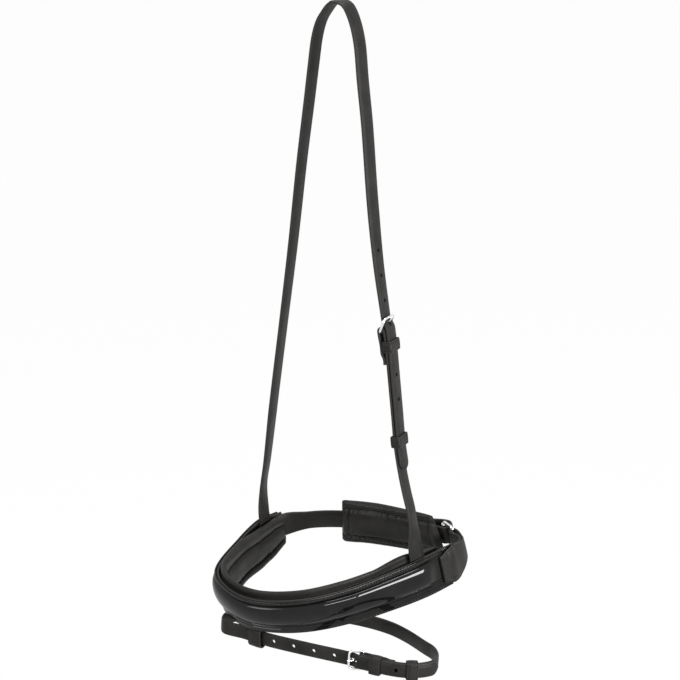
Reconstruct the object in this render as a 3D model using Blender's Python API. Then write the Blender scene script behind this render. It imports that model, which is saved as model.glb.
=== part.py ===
"""Flash bridle: a padded patent noseband on a narrow sliphead, with a flash strap below it.

The frame is that of a horse looking along -Y: +X is its near (left) side, +Z is up.
The origin is the seat under the crown of the sliphead, which hangs on a hook or a poll.
Straps are ribbons that follow three lines: the sliphead, the noseband and the flash strap.
A place on a line is given by its length along the line and its offset outwards from it.
"""
import math

import bmesh
import bpy
import numpy as np
from mathutils import Matrix, Vector

MM = 0.001

# Clearances
GAP = 0.0003            # between leathers that touch
SIDE_PLAY = 0.0005      # round a strap inside its keeper
POCKET_PLAY = 0.0008    # each side of a sliphead end between pad and noseband
FOLD_PLAY = 0.0003      # between a buckle bar and the fold round it

# Sliphead
SLIP_WIDTH = 0.017
SLIP_THICK = 0.003
SLIP_DROP = 0.5535      # from the crown seat down to the middle of the noseband
SEAT_LENGTH = 0.010     # flat stretch under the crown
LEVEL_SHARE = 0.7       # how much of it has an exactly level face
POCKET_DEPTH = 0.018    # how far an end is sewn in below the noseband's top edge
CHEEK_LENGTH = 0.2475   # cheek strap from its sewn end to the buckle bar
CHEEK_BILLET = 0.1375   # from the buckle bar to the tip of the strap
CHEEK_PITCH = 0.024
CHEEK_HOLES = (-3, 3)   # first and last hole, counted from the one in use
CHEEK_KEEPER_AT = 0.0150
CHEEK_RUNNER_AT = 0.1085
CHEEK_DRAW = 0.003      # how far the tongue has drawn its hole from its even place

# Noseband
NOSE_ACROSS = 0.201
NOSE_DEEP = 0.203
NOSE_SETBACK = -0.022   # middle of the noseband behind the crown seat, along Y
NOSE_PITCH = math.radians(10.0)
CHIN_RISE = 0.003       # how far the back of the noseband's line sits above its plane
BAND_HEIGHT = 0.040
BACKING_THICK = 0.003
PATENT_THICK = 0.0014
SWELL_RISE = 0.0050
SWELL_TOP = 0.0145      # upper edge of the raised swell above the middle of the band
SWELL_BOTTOM = -0.0080
OFF_NARROWS = 0.006     # taken off each edge of its off-side end
HALF_BAND = 0.200       # length of the noseband to each side of the nose
NEAR_ATTACH = 0.166     # sliphead end along the noseband from the nose, each side
OFF_ATTACH = 0.172
PAD_THICK = 0.0070
PAD_RISE = 0.0060       # pad roll above the band
PAD_DROP = 0.003
PAD_SHORT = 0.003       # how far the pad stops short of the noseband's ends
LINING_THICK = 0.0012

# Near-side ring and its strap
RING_STRAP_THICK = 0.0025
RING_STRAP_HEIGHT = 0.036
RING_STRAP_START = 0.187
RING_BAR_AT = 0.251
RING_REACH = 0.015      # from the ring's bar to its roller bar
RING_WIRE = 0.0030
ROLLER_OUTER = 0.0060
ROLLER_SLACK = 0.0012

# Chin strap and pad
CHIN_WIDTH = 0.020
CHIN_THICK = 0.003
CHIN_SEWN = 0.184       # sewn end of the chin strap from the nose, on the off side
CHIN_SPREAD = 0.006     # how much wider that end is
CHIN_BUCKLE_AT = 0.046  # chin buckle bar beyond the roller bar
CHIN_BILLET = 0.068
CHIN_PITCH = 0.020
CHIN_HOLES = (-2, 1)
CHAPE_THICK = 0.0025
CHAPE_LENGTH = 0.036
CHIN_PAD_START = 0.002  # chin pad beyond the roller bar
CHIN_PAD_LENGTH = 0.110
CHIN_PAD_HEIGHT = 0.049
CHIN_PAD_THICK = 0.0070
CHIN_PAD_LIFT = 0.0035  # middle of the chin pad above the middle of its strap
CHIN_PLATE_THICK = 0.0015

# Flash strap
FLASH_WIDTH = 0.014
FLASH_THICK = 0.0028
FLASH_TILT = math.radians(-5.0)
FLASH_BUCKLE_AT = 0.1125  # buckle bar from the flash loop
FLASH_BILLET = 0.0755
FLASH_PITCH = 0.0213
FLASH_HOLES = (-2, 4)
FLASH_KEEPER_AT = 0.0150
FLASH_RUNNER_AT = 0.0495
LOOP_AT = -0.014        # flash loop along the noseband from the nose
LOOP_WIDTH = 0.015
LOOP_THICK = 0.0018
LOOP_TAB = 0.015        # how far the loop is sewn in above the noseband's lower edge
LOOP_BOW = 0.0007       # how far the noseband bows over the loop's width
LOOP_DIP = 0.0015       # how far it goes on straight below the noseband's lower edge
LOOP_FALL = 0.0113      # strap's middle below that
LOOP_PLAY = 0.0022      # round the flash strap inside its loop

# Buckles, tongues and keepers
BUCKLE_WIRE = 0.0026
BUCKLE_REACH = 0.012    # from the hinge bar to the front bar
BUCKLE_SIDE = 0.0007    # between a strap's edge and the frame
TONGUE_WIRE = 0.0020
FOLD_RETURN = 0.012     # length of the folded end that is sewn down behind the keeper
KEEPER_WIDTH = 0.011
KEEPER_THICK = 0.0016
CHIN_KEEPER_AT = 0.0105
HOLE_SIZE = 0.0038
HOLE_IN_USE = 0.0074    # the hole in use, stretched along the strap
TONGUE_THROUGH = 0.0073  # middle of that hole from the hinge bar

# Shape of the noseband seen from above, in millimetres across and fore and aft
NOSE_SHAPE = [(2, -94), (36, -74), (63, -39), (84, 8), (93, 34), (99, 62), (103, 82), (97, 99),
              (78, 108), (10, 100), (-45, 84), (-80, 65), (-98, 42), (-97, 12), (-88, -25),
              (-64, -80), (-28, -96)]
# Lean of the noseband: share of its length round, and degrees that its top edge leans outwards
NOSE_LEAN = [(0.0, 12), (0.07, 10), (0.14, 6), (0.22, -3), (0.27, -8), (0.40, -6), (0.52, 0),
             (0.72, -2), (0.80, -2), (0.92, 6)]
# Height of the pad's roll over the noseband's top edge: place in millimetres, share of full
PAD_ROLL = [(-200, 0.1), (-165, 0.1), (-150, 0.5), (-125, 1.0), (155, 1.0), (182, 0.4), (200, -0.3)]
# Legs of the sliphead: millimetres to the side and forward, and share of the drop below the crown
NEAR_LEG = [(86, 7.5, 0.872), (80, 7.0, 0.835), (74.5, 7, 0.800), (69.5, 6.5, 0.755),
            (65.5, 6.0, 0.690), (61.5, 5.5, 0.626), (57.5, 5.0, 0.564), (53, 4.5, 0.517),
            (45, 4.0, 0.435), (37.5, 3.5, 0.327), (31, 3.0, 0.200), (26, 2.5, 0.127),
            (22, 2.0, 0.062), (16.5, 1.2, 0.027), (10, 0.4, 0.006)]
OFF_LEG = [(-10, -0.4, 0.006), (-15.5, -1.0, 0.018), (-21, -1.8, 0.033), (-26, -2.5, 0.060),
           (-30.5, -3, 0.109), (-36, -3, 0.170), (-45, -4, 0.276), (-56, -5, 0.421),
           (-69, -6, 0.572), (-82.5, -7, 0.726), (-92, -8, 0.846), (-97, -8.5, 0.900)]
# Turn of a leg's width away from fore and aft, in degrees, by share of the drop
NEAR_TURN = [(0.0, -5), (0.35, -6), (0.52, -15), (0.88, -17)]
OFF_TURN = [(0.0, -5), (0.35, -11), (0.58, -16), (0.75, -17), (0.91, -27)]
# Flash strap seen from above, in millimetres from its loop, clockwise from the nose
FLASH_SHAPE = [(0, 0), (16, 2.5), (48, 12), (94, 27.5), (140, 43), (151, 51), (158, 62), (160, 74),
               (156, 85), (148, 94), (137, 101), (125, 104.5), (93, 114), (67, 117), (30, 109),
               (-10, 86), (-41, 52), (-52, 25), (-50, 5), (-38, -7), (-16, -2.5)]

TAU = 2 * math.pi
FINE = 0.001
STATION = 0.010
STRAP_STEP = 0.008


def ease(x, start, end):
    """Goes smoothly from 0 at start to 1 at end."""
    t = min(max((x - start) / (end - start), 0.0), 1.0)
    return t * t * (3 - 2 * t)


def stations(end, start=None):
    """Places along the noseband that all of its layers share, out to an end on each side."""
    first = -end if start is None else start
    inner = [k * STATION for k in range(math.ceil(first / STATION), math.floor(end / STATION) + 1)]
    inner = [s for s in inner if s - first > 0.2 * STATION and end - s > 0.2 * STATION]
    return [first] + inner + [end]


def spread(start, end, step):
    """Even places from start to end, about step apart."""
    count = max(1, math.ceil(abs(end - start) / step))
    return [start + (end - start) * i / count for i in range(count + 1)]


def through(knots, x):
    """Reads a value from (place, value) knots."""
    return float(np.interp(x, [k[0] for k in knots], [k[1] for k in knots]))


def smooth(points, closed):
    """A centripetal Catmull-Rom curve through the points, read densely."""
    pts = [np.array(p, float) for p in points]
    if closed:
        ring = [pts[-1]] + pts + pts[:2]
    else:
        ring = [2 * pts[0] - pts[1]] + pts + [2 * pts[-1] - pts[-2]]
    out = []
    for a, b, c, d in zip(ring, ring[1:], ring[2:], ring[3:]):
        ta, tb, tc = (math.sqrt(np.linalg.norm(q - p)) for p, q in ((a, b), (b, c), (c, d)))
        slope_b = (b - a) / ta - (c - a) / (ta + tb) + (c - b) / tb
        slope_c = (c - b) / tb - (d - b) / (tb + tc) + (d - c) / tc
        count = max(4, int(np.linalg.norm(c - b) / FINE))
        for i in range(count):
            t = i / count
            out.append((2 * t**3 - 3 * t**2 + 1) * b + (t**3 - 2 * t**2 + t) * tb * slope_b
                       + (3 * t**2 - 2 * t**3) * c + (t**3 - t**2) * tb * slope_c)
    if not closed:
        out.append(pts[-1])
    return np.array(out)


def unit(v):
    return v / np.linalg.norm(v)


class Line:
    """A curve with a frame at each place: tangent, outward normal and width direction."""

    def __init__(self, points, width_at, side, closed=False):
        if closed:
            points = np.vstack([points, points[:1]])
        self.closed = closed
        self.points = points
        steps = np.linalg.norm(np.diff(points, axis=0), axis=1)
        self.places = np.concatenate([[0.0], np.cumsum(steps)])
        self.length = self.places[-1]
        if closed:
            before = np.vstack([points[-2:-1], points[:-1]])
            after = np.vstack([points[1:], points[1:2]])
        else:
            before = np.vstack([points[:1], points[:-1]])
            after = np.vstack([points[1:], points[-1:]])
        self.tangents = np.array([unit(b - a) for a, b in zip(before, after)])
        widths = []
        for place, point, tangent in zip(self.places, points, self.tangents):
            width = width_at(place, self.length, point, tangent)
            widths.append(unit(width - tangent * np.dot(width, tangent)))
        self.widths = np.array(widths)
        self.side = side
        self.normals = side * np.cross(self.tangents, self.widths)

    def read(self, table, place):
        if self.closed:
            place = place % self.length
        return np.array([np.interp(place, self.places, table[:, k]) for k in range(3)])

    def frame(self, place):
        """Point, tangent, normal and width direction at a place."""
        return (self.read(self.points, place), unit(self.read(self.tangents, place)),
                unit(self.read(self.normals, place)), unit(self.read(self.widths, place)))

    def spot(self, place, offset=0.0, height=0.0):
        point, _, normal, width = self.frame(place)
        return point + normal * offset + width * height


def noseband_line():
    """The inner face of the noseband's backing, at the middle of its height."""
    shape = np.array(NOSE_SHAPE, float)
    low = shape.min(axis=0)
    high = shape.max(axis=0)
    scale = np.array([NOSE_ACROSS, NOSE_DEEP]) / (high - low)
    across = np.array([1.0, 0.0, 0.0])
    back = np.array([0.0, math.cos(NOSE_PITCH), math.sin(NOSE_PITCH)])
    up = np.array([0.0, -math.sin(NOSE_PITCH), math.cos(NOSE_PITCH)])
    centre = np.array([0.0, NOSE_SETBACK, -SLIP_DROP])
    points = [centre + across * x * scale[0] + back * y * scale[1] + up * CHIN_RISE * ease(y, 60, 105)
              for x, y in shape]
    knots = NOSE_LEAN + [(1.0, NOSE_LEAN[0][1])]

    def width_at(place, length, _point, tangent):
        lean = math.radians(through(knots, place / length))
        outward = unit(np.cross(tangent, up))
        return up * math.cos(lean) + outward * math.sin(lean)

    return Line(smooth(points, True), width_at, 1.0, True)


def sliphead_line(nose):
    """From the near-side sewn end up over the crown and down to the off-side sewn end."""
    offset = -(POCKET_PLAY + SLIP_THICK / 2)
    top = BAND_HEIGHT / 2
    heights = (top - POCKET_DEPTH, top - POCKET_DEPTH / 2, top, top + 0.009)
    points = [nose.spot(NEAR_ATTACH, offset, h) for h in heights]
    rise = SLIP_THICK / 2
    for x, y, share in NEAR_LEG:
        points.append(np.array([x * MM, y * MM, rise - share * SLIP_DROP]))
    points.append(np.array([SEAT_LENGTH / 2, 0.0, rise]))
    near = smooth(points, False)
    points = [np.array([-SEAT_LENGTH / 2, 0.0, rise])]
    for x, y, share in OFF_LEG:
        points.append(np.array([x * MM, y * MM, rise - share * SLIP_DROP]))
    points += [nose.spot(-OFF_ATTACH, offset, h) for h in reversed(heights)]
    off = smooth(points, False)
    count = int(SEAT_LENGTH / FINE)
    seat = [near[-1] + (off[0] - near[-1]) * i / count for i in range(1, count)]
    near_sewn = nose.frame(NEAR_ATTACH)[1]
    off_sewn = -nose.frame(-OFF_ATTACH)[1]

    def width_at(_place, _length, point, _tangent):
        share = -point[2] / SLIP_DROP
        is_near = point[0] > 0
        turn = math.radians(through(NEAR_TURN if is_near else OFF_TURN, share))
        free = np.array([math.sin(turn), math.cos(turn), 0.0])
        sewn = near_sewn if is_near else off_sewn
        blend = ease(share, *((0.875, 0.955) if is_near else (0.875, 0.957)))
        if abs(point[0]) <= SEAT_LENGTH / 2 + FINE:
            return np.array([0.0, 1.0, 0.0])
        return unit(free * (1 - blend) + sewn * blend)

    return Line(np.vstack([near, np.array(seat), off]), width_at, -1.0)


def flash_line(nose):
    """The middle of the flash strap, from its loop round by the near side."""
    point, _, normal, up = nose.frame(LOOP_AT)
    middle = point - up * (BAND_HEIGHT / 2 + LOOP_DIP) - normal * (1.5 * GAP + LOOP_BOW + LOOP_THICK)
    middle = middle + np.array([0.0, 0.0, -LOOP_FALL])
    back = np.array([0.0, math.cos(FLASH_TILT), math.sin(FLASH_TILT)])
    rise = np.array([0.0, -math.sin(FLASH_TILT), math.cos(FLASH_TILT)])
    across = np.array([1.0, 0.0, 0.0])
    points = [middle + across * x * MM + back * y * MM for x, y in FLASH_SHAPE]

    def width_at(_place, _length, _point, _tangent):
        return rise

    return Line(smooth(points, True), width_at, 1.0, True)


def material(name, colour, rough, metal=0.0, coat=0.0):
    made = bpy.data.materials.new(name)
    made.use_nodes = True
    shader = made.node_tree.nodes["Principled BSDF"]
    shader.inputs["Base Color"].default_value = (*colour, 1.0)
    shader.inputs["Roughness"].default_value = rough
    shader.inputs["Metallic"].default_value = metal
    shader.inputs["Coat Weight"].default_value = coat
    return made


FINISHES = {
    "strap": ((0.014, 0.013, 0.012), 0.50, 0.0, 0.0),
    "patent": ((0.006, 0.006, 0.006), 0.10, 0.0, 1.0),
    "lining": ((0.018, 0.017, 0.015), 0.62, 0.0, 0.0),
    "foam": ((0.10, 0.10, 0.10), 0.95, 0.0, 0.0),
    "cord": ((0.30, 0.27, 0.22), 0.95, 0.0, 0.0),
    "chrome": ((0.72, 0.73, 0.74), 0.12, 1.0, 0.0),
}


def add_object(name, mesh_data, finish, pivot=None):
    """Puts a mesh in the scene with its own material, and its origin on its pivot."""
    mesh = bpy.data.meshes.new(name)
    if pivot is not None:
        bmesh.ops.translate(mesh_data, verts=mesh_data.verts, vec=-Vector(pivot))
    bmesh.ops.recalc_face_normals(mesh_data, faces=mesh_data.faces)
    mesh_data.to_mesh(mesh)
    mesh_data.free()
    made = bpy.data.objects.new(name, mesh)
    if pivot is not None:
        made.location = Vector(pivot)
    bpy.context.scene.collection.objects.link(made)
    if finish:
        mesh.materials.append(material(name, *FINISHES[finish]))
        hang(made, GROUP[-1])
    return made


GROUP = []              # the empty that new pieces hang from is the last one


def hang(made, parent):
    made.parent = parent
    made.matrix_parent_inverse = Matrix.Translation(-parent.location)


def start_group(name, location):
    """An empty at a joint, from which the pieces made next hang."""
    empty = bpy.data.objects.new(name, None)
    empty.location = Vector(location)
    bpy.context.scene.collection.objects.link(empty)
    if GROUP:
        hang(empty, GROUP[0])
    GROUP.append(empty)


def loft(rings, ring_closed=False, mesh_data=None):
    """Skins rings of points, with flat ends unless the rings meet again."""
    made = mesh_data or bmesh.new()
    rows = [[made.verts.new(Vector(p)) for p in ring] for ring in rings]
    pairs = list(zip(rows, rows[1:]))
    if ring_closed:
        pairs.append((rows[-1], rows[0]))
    for low, high in pairs:
        for i in range(len(low)):
            j = (i + 1) % len(low)
            made.faces.new((low[i], low[j], high[j], high[i]))
    if not ring_closed:
        caps = [made.faces.new(rows[0]), made.faces.new(rows[-1])]
        for cap in caps:
            cap.normal_update()
        bmesh.ops.triangulate(made, faces=caps, ngon_method='EAR_CLIP')
    return made


def sweep(name, line, places, section_at, finish):
    """A solid whose section, in offset and height, is given at each place on a line."""
    rings = []
    for place in places:
        point, _, normal, width = line.frame(place)
        rings.append([point + normal * o + width * h for o, h in section_at(place)])
    return add_object(name, loft(rings), finish)


def strip_rings(middles, widths, thick, edges):
    """Rings of a strap of even thickness; edges are (low, high) heights at each point."""
    rings = []
    last = len(middles) - 1
    for i, middle in enumerate(middles):
        travel = unit(middles[min(i + 1, last)] - middles[max(i - 1, 0)])
        face = unit(np.cross(travel, widths[i])) * thick / 2
        low = middle + widths[i] * edges[i][0]
        high = middle + widths[i] * edges[i][1]
        rings.append([low + face, high + face, high - face, low - face])
    return rings


def ribbon(name, line, course, thick, half_width, finish="strap"):
    """A strap along (place, offset) points, with one half width or one for each point."""
    if isinstance(half_width, float):
        half_width = [half_width] * len(course)
    middles = [line.spot(s, o) for s, o in course]
    widths = [line.frame(s)[3] for s, _ in course]
    edges = [(-half, half) for half in half_width]
    return add_object(name, loft(strip_rings(middles, widths, thick, edges)), finish)


def tube(path, radius, sides, closed, around=None):
    """A round bar along 3-D points; around fixes the direction square to a flat path."""
    rings = []
    last = len(path) - 1
    for i, point in enumerate(path):
        before = path[i - 1] if (closed or i > 0) else path[i]
        after = path[(i + 1) % len(path)] if (closed or i < last) else path[i]
        along = unit(after - before)
        first = unit(around - along * np.dot(around, along))
        second = np.cross(along, first)
        rings.append([point + (first * math.cos(TAU * k / sides)
                               + second * math.sin(TAU * k / sides)) * radius
                      for k in range(sides)])
    return loft(rings, closed)


def rounded(half_long, half_wide, corner, steps):
    """A rounded rectangle as 2-D points, counter-clockwise."""
    corner = min(corner, half_long * 0.999, half_wide * 0.999)
    out = []
    for quarter in range(4):
        sign_x = 1 if quarter in (0, 3) else -1
        sign_y = 1 if quarter in (0, 1) else -1
        for k in range(steps + 1):
            angle = TAU * (quarter + k / steps) / 4
            out.append((sign_x * (half_long - corner) + corner * math.cos(angle),
                        sign_y * (half_wide - corner) + corner * math.sin(angle)))
    return out


def cut(target, cutter):
    """Takes a cutter's shape out of an object."""
    cutter.hide_render = True
    cutter.display_type = 'WIRE'
    made = target.modifiers.new(cutter.name, 'BOOLEAN')
    made.operation = 'DIFFERENCE'
    made.solver = 'EXACT'
    made.object = cutter


def hole_rings(line, place, offset, depth, length, width):
    """A round or stretched hole through a strap, square to its face."""
    point, along, normal, up = line.frame(place)
    centre = point + normal * offset
    shape = rounded(length / 2, width / 2, width / 2, 3)
    return [[centre + normal * d + along * a + up * b for a, b in shape] for d in (-depth, depth)]


def punch(target, name, line, holes, offset_at, depth):
    """Punches holes, each (place, length), through a strap."""
    made = bmesh.new()
    for place, length in holes:
        loft(hole_rings(line, place, offset_at(place), depth, length, HOLE_SIZE), False, made)
    cut(target, add_object(name, made, None))


def rise(sigma):
    """How far the layers behind a hinge bar are spread by it: 0 well behind it, 1 at it."""
    return ease(sigma, -0.015, -0.003)


class Buckle:
    """Where a buckle sits on a line, and the courses of the straps that it joins.

    ahead is the direction along the line from the hinge bar to the front bar.
    strap_offset is the middle of the strap beyond the front bar, fold_offset the middle of
    the folded strap behind the bar, and fold_dips says whether the fold's lower layer dips
    under the bar or its upper layer rises over it.
    """

    def __init__(self, line, at, ahead, fold_thick, strap_thick, width, fold_offset,
                 strap_offset, fold_dips, keeper_at, fold_end=None, beyond=0.0):
        self.line = line
        self.at = at
        self.ahead = ahead
        self.fold_thick = fold_thick
        self.strap_thick = strap_thick
        self.width = width
        self.wire = BUCKLE_WIRE / 2
        self.turn = self.wire + FOLD_PLAY + fold_thick / 2
        self.keeper_at = keeper_at
        layers = fold_thick + GAP
        self.lower_far = fold_offset - layers
        if fold_dips:
            self.upper_near = self.upper_far = fold_offset
            self.lower_near = fold_offset - 2 * self.turn
            self.lower_mid = self.lower_far - SIDE_PLAY - KEEPER_THICK
        else:
            self.lower_near = self.lower_mid = self.lower_far
            self.upper_near = self.lower_near + 2 * self.turn
            self.upper_far = fold_offset
        self.bar = self.upper_near - self.turn
        self.strap_offset = strap_offset
        seat = (fold_thick + strap_thick) / 2 + GAP
        self.over_near = self.upper_near + seat
        self.over_far = self.upper_far + seat
        self.front = strap_offset + strap_thick / 2 + 2 * GAP + self.wire
        self.fold_end = fold_end
        self.beyond = beyond

    def place(self, sigma):
        return self.at + self.ahead * sigma

    def sigma(self, place):
        return (place - self.at) * self.ahead

    def upper(self, sigma):
        """Middle of the fold's upper layer."""
        return self.upper_far + (self.upper_near - self.upper_far) * rise(sigma)

    def lower(self, sigma):
        """Middle of the fold's lower layer, which passes under the fixed keeper."""
        behind = self.keeper_at + KEEPER_WIDTH / 2
        close = ease(-sigma, behind + 0.0005, behind + 0.0075)
        middle = self.lower_mid + (self.lower_far - self.lower_mid) * close
        return middle + (self.lower_near - self.lower_mid) * rise(sigma)

    def over(self, sigma):
        """Middle of the buckled strap: under the front bar, over the fold."""
        climb = 1 - ease(sigma, 0.0005, BUCKLE_REACH)
        top = self.over_far + (self.over_near - self.over_far) * rise(sigma)
        if self.fold_end is not None:
            drop = ease(-sigma, self.fold_end + 0.001, self.fold_end + 0.013)
            top = top + (self.beyond - top) * drop
        return self.strap_offset + (top - self.strap_offset) * climb

    def fold_course(self, upper_end):
        """From the end of the return under the bar, round it and out along the upper layer."""
        end = -self.keeper_at - KEEPER_WIDTH / 2 - FOLD_RETURN
        course = []
        for sigma in spread(end, -0.016, 0.003) + spread(-0.016, -0.002, 0.0035)[1:]:
            course.append((sigma, self.lower(sigma)))
        for k in range(1, 8):
            angle = -TAU / 4 + TAU / 2 * k / 8
            course.append((self.turn * math.cos(angle), self.bar + self.turn * math.sin(angle)))
        for sigma in spread(-0.002, -0.016, 0.0035) + spread(-0.016, upper_end, STRAP_STEP)[1:]:
            course.append((sigma, self.upper(sigma)))
        return [(self.place(sigma), offset) for sigma, offset in course]

    def over_course(self, start, tip):
        """From ahead of the front bar, over the fold to the tip."""
        course = spread(start, 0.018, 0.008) + spread(0.018, -0.002, 0.002)[1:]
        course += spread(-0.002, -0.016, 0.0035)[1:]
        if self.fold_end is None:
            course += spread(-0.016, -tip + 0.008, STRAP_STEP)[1:]
        else:
            drop = -self.fold_end - 0.001
            course += spread(-0.016, drop, 0.007)[1:] + spread(drop, drop - 0.012, 0.003)[1:]
            course += spread(drop - 0.012, -tip + 0.008, STRAP_STEP)[1:]
        course += spread(-tip + 0.008, -tip, 0.0016)[1:]
        return [(self.place(sigma), self.over(sigma)) for sigma in course]

    def axes(self):
        """Hinge bar, unit vector to the front bar, distance to it, and width direction."""
        bar = self.line.spot(self.at, self.bar)
        front = self.line.spot(self.place(BUCKLE_REACH), self.front)
        width = self.line.frame(self.at)[3]
        reach = front - bar
        reach = reach - width * np.dot(reach, width)
        return bar, unit(reach), np.linalg.norm(reach), width

    def frame_object(self, name):
        bar, along, reach, width = self.axes()
        half_wide = self.width / 2 + BUCKLE_SIDE + self.wire
        middle = bar + along * reach / 2
        tight = rounded(reach / 2, half_wide, BUCKLE_SIDE + self.wire, 4)
        wide = rounded(reach / 2, half_wide, 0.0035, 4)
        path = [middle + along * a + width * b
                for (a, b) in [w if w[0] > 0 else t for t, w in zip(tight, wide)]]
        made = tube(path, self.wire, 8, True, np.cross(along, width))
        return add_object(name, made, "chrome", bar)

    def tongue_object(self, name):
        """A prong hooked round the hinge bar, with its tip on the front bar."""
        bar, along, reach, width = self.axes()
        lift = np.cross(width, along)
        if np.dot(lift, self.line.frame(self.at)[2]) < 0:
            lift = -lift
        radius = TONGUE_WIRE / 2
        curl = self.wire + FOLD_PLAY + radius
        tip_lift = self.wire + GAP + radius
        leave = math.atan2(tip_lift, reach) + math.asin(curl / math.hypot(reach, tip_lift))
        path = []
        for k in range(10):
            angle = leave - TAU / 4 - math.radians(225) * (1 - k / 9)
            path.append(bar + (along * math.cos(angle) + lift * math.sin(angle)) * curl)
        tip = bar + along * reach + lift * tip_lift
        path.append((path[-1] + tip) / 2)
        path.append(tip)
        path.append(tip + along * 0.0022 - lift * 0.0003)
        made = tube(path, radius, 6, False, width)
        return add_object(name, made, "chrome", bar)

    def tongue_slot(self, target, name):
        """Opens the fold where the tongue hooks round the bar."""
        half = TONGUE_WIRE / 2 + 0.0006
        depth = self.lower_near - self.fold_thick / 2 - 0.002
        top = self.upper_near + self.fold_thick / 2 + GAP / 2
        profile = [(-0.0050, depth), (-0.0050, top), (0.0012, top),
                   (0.0072, self.bar + 0.001), (0.0072, depth)]
        rings = []
        for side in (-half, half):
            rings.append([self.line.spot(self.place(sigma), offset, side) for sigma, offset in profile])
        cut(target, add_object(name, loft(rings), None))

    def tongue_place(self):
        """Place along the strap where the tongue comes through it."""
        return self.place(TONGUE_THROUGH)

    def keeper(self, name, sigma, layers, pivot=None):
        """A leather loop round the straps; layers are the lowest and highest offsets in it."""
        point, along, normal, width = self.line.frame(self.place(-sigma))
        ends = [self.line.spot(self.place(-sigma + end)) for end in (-KEEPER_WIDTH / 2, KEEPER_WIDTH / 2)]
        sags = [np.dot(end - point, normal) for end in ends]
        low = layers[0] + min(0.0, *sags)
        high = layers[1] + max(0.0, *sags)
        centre = point + normal * (low + high) / 2
        inner = rounded((high - low) / 2 + SIDE_PLAY, self.width / 2 + SIDE_PLAY, 0.0008, 2)
        outer = rounded((high - low) / 2 + SIDE_PLAY + KEEPER_THICK,
                        self.width / 2 + SIDE_PLAY + KEEPER_THICK, 0.0022, 2)
        half = along * KEEPER_WIDTH / 2
        rings = []
        for shape, end in ((inner, -half), (outer, -half), (outer, half), (inner, half)):
            rings.append([centre + end + normal * a + width * b for a, b in shape])
        return add_object(name, loft(rings, True), "strap", pivot)

    def runner(self, name, sigma, layers, on_bend=False):
        """A keeper that slides along the straps, or turns about the bend that it lies on."""
        reach = 0.009
        before, here, after = (self.line.spot(self.place(-sigma + s)) for s in (-reach, 0.0, reach))
        pivot = here
        if on_bend:
            middle = (before + after) / 2
            sag = np.linalg.norm(here - middle)
            radius = (np.linalg.norm(after - before) ** 2 / 4 + sag ** 2) / (2 * sag)
            pivot = here + unit(middle - here) * radius
        self.keeper(name, sigma, layers, pivot)

    def stack(self, sigma):
        """Lowest and highest faces of the layers inside a keeper at a distance behind the bar."""
        spots = (sigma - KEEPER_WIDTH / 2, sigma, sigma + KEEPER_WIDTH / 2)
        low = min(self.upper(-behind) for behind in spots) - self.fold_thick / 2
        high = max(self.over(-behind) for behind in spots) + self.strap_thick / 2
        return low, high


def tip_widths(course, half, length):
    """Half widths of a strap whose end is rounded over its last stretch."""
    end = course[-1][0]
    out = [half] * len(course)
    for i in range(len(course) - 1, -1, -1):
        left = abs(end - course[i][0])
        if left >= length:
            break
        out[i] = half * max(0.25, math.sqrt(1 - (1 - left / length) ** 2))
    return out


def make_sliphead(slip):
    """The long strap, the near-side cheek strap, and the buckle and keepers between them."""
    buckle = Buckle(slip, CHEEK_LENGTH, 1, SLIP_THICK, SLIP_THICK, SLIP_WIDTH, 0.0, 0.0, True,
                    CHEEK_KEEPER_AT)
    half = SLIP_WIDTH / 2

    course = buckle.fold_course(-CHEEK_LENGTH)
    cheek = ribbon("cheek_strap", slip, course, SLIP_THICK, half)
    buckle.tongue_slot(cheek, "cheek_tongue_slot")

    seat = SEAT_LENGTH / 2
    middle = slip.places[np.argmin(np.abs(slip.points[:, 0]) - slip.points[:, 2])]
    rise_end = middle - seat - 0.055
    upper = spread(slip.length, slip.length - 0.060, 0.005)
    upper += spread(slip.length - 0.060, middle + seat + 0.055, 0.011)[1:]
    upper += spread(middle + seat + 0.055, middle + seat, 0.005)[1:]
    upper += [middle + LEVEL_SHARE * seat, middle - LEVEL_SHARE * seat]
    upper += spread(middle - seat, rise_end, 0.005)
    upper += spread(rise_end, buckle.place(0.030), 0.011)[1:-1]
    course = [(place, 0.0) for place in upper] + buckle.over_course(0.030, CHEEK_BILLET)
    widths = tip_widths(course, half, 0.007)
    strap = ribbon("sliphead_strap", slip, course, SLIP_THICK, widths)
    first, last = CHEEK_HOLES
    in_use = buckle.tongue_place()
    holes = [(in_use, HOLE_IN_USE)]
    holes += [(in_use - CHEEK_DRAW + CHEEK_PITCH * k, HOLE_SIZE) for k in range(first, last + 1) if k]
    punch(strap, "cheek_holes", slip, holes, lambda s: buckle.over(buckle.sigma(s)), 0.003)

    buckle.frame_object("cheek_buckle_frame")
    buckle.tongue_object("cheek_buckle_tongue")
    buckle.keeper("cheek_fixed_keeper", CHEEK_KEEPER_AT, buckle.stack(CHEEK_KEEPER_AT))
    buckle.runner("cheek_sliding_keeper", CHEEK_RUNNER_AT, buckle.stack(CHEEK_RUNNER_AT))


def inset(shape, depth):
    """Moves a closed outline's points inwards by a depth."""
    pts = [np.array(p, float) for p in shape]
    area = sum(a[0] * b[1] - b[0] * a[1] for a, b in zip(pts, pts[1:] + pts[:1]))
    turn = 1 if area > 0 else -1
    out = []
    for i, point in enumerate(pts):
        before = unit(point - pts[i - 1])
        after = unit(pts[(i + 1) % len(pts)] - point)
        normal = np.array([-before[1] - after[1], before[0] + after[0]]) * turn
        length = np.linalg.norm(normal)
        out.append(tuple(point + normal / length * depth / max(length / 2, 0.5)))
    return out


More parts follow.
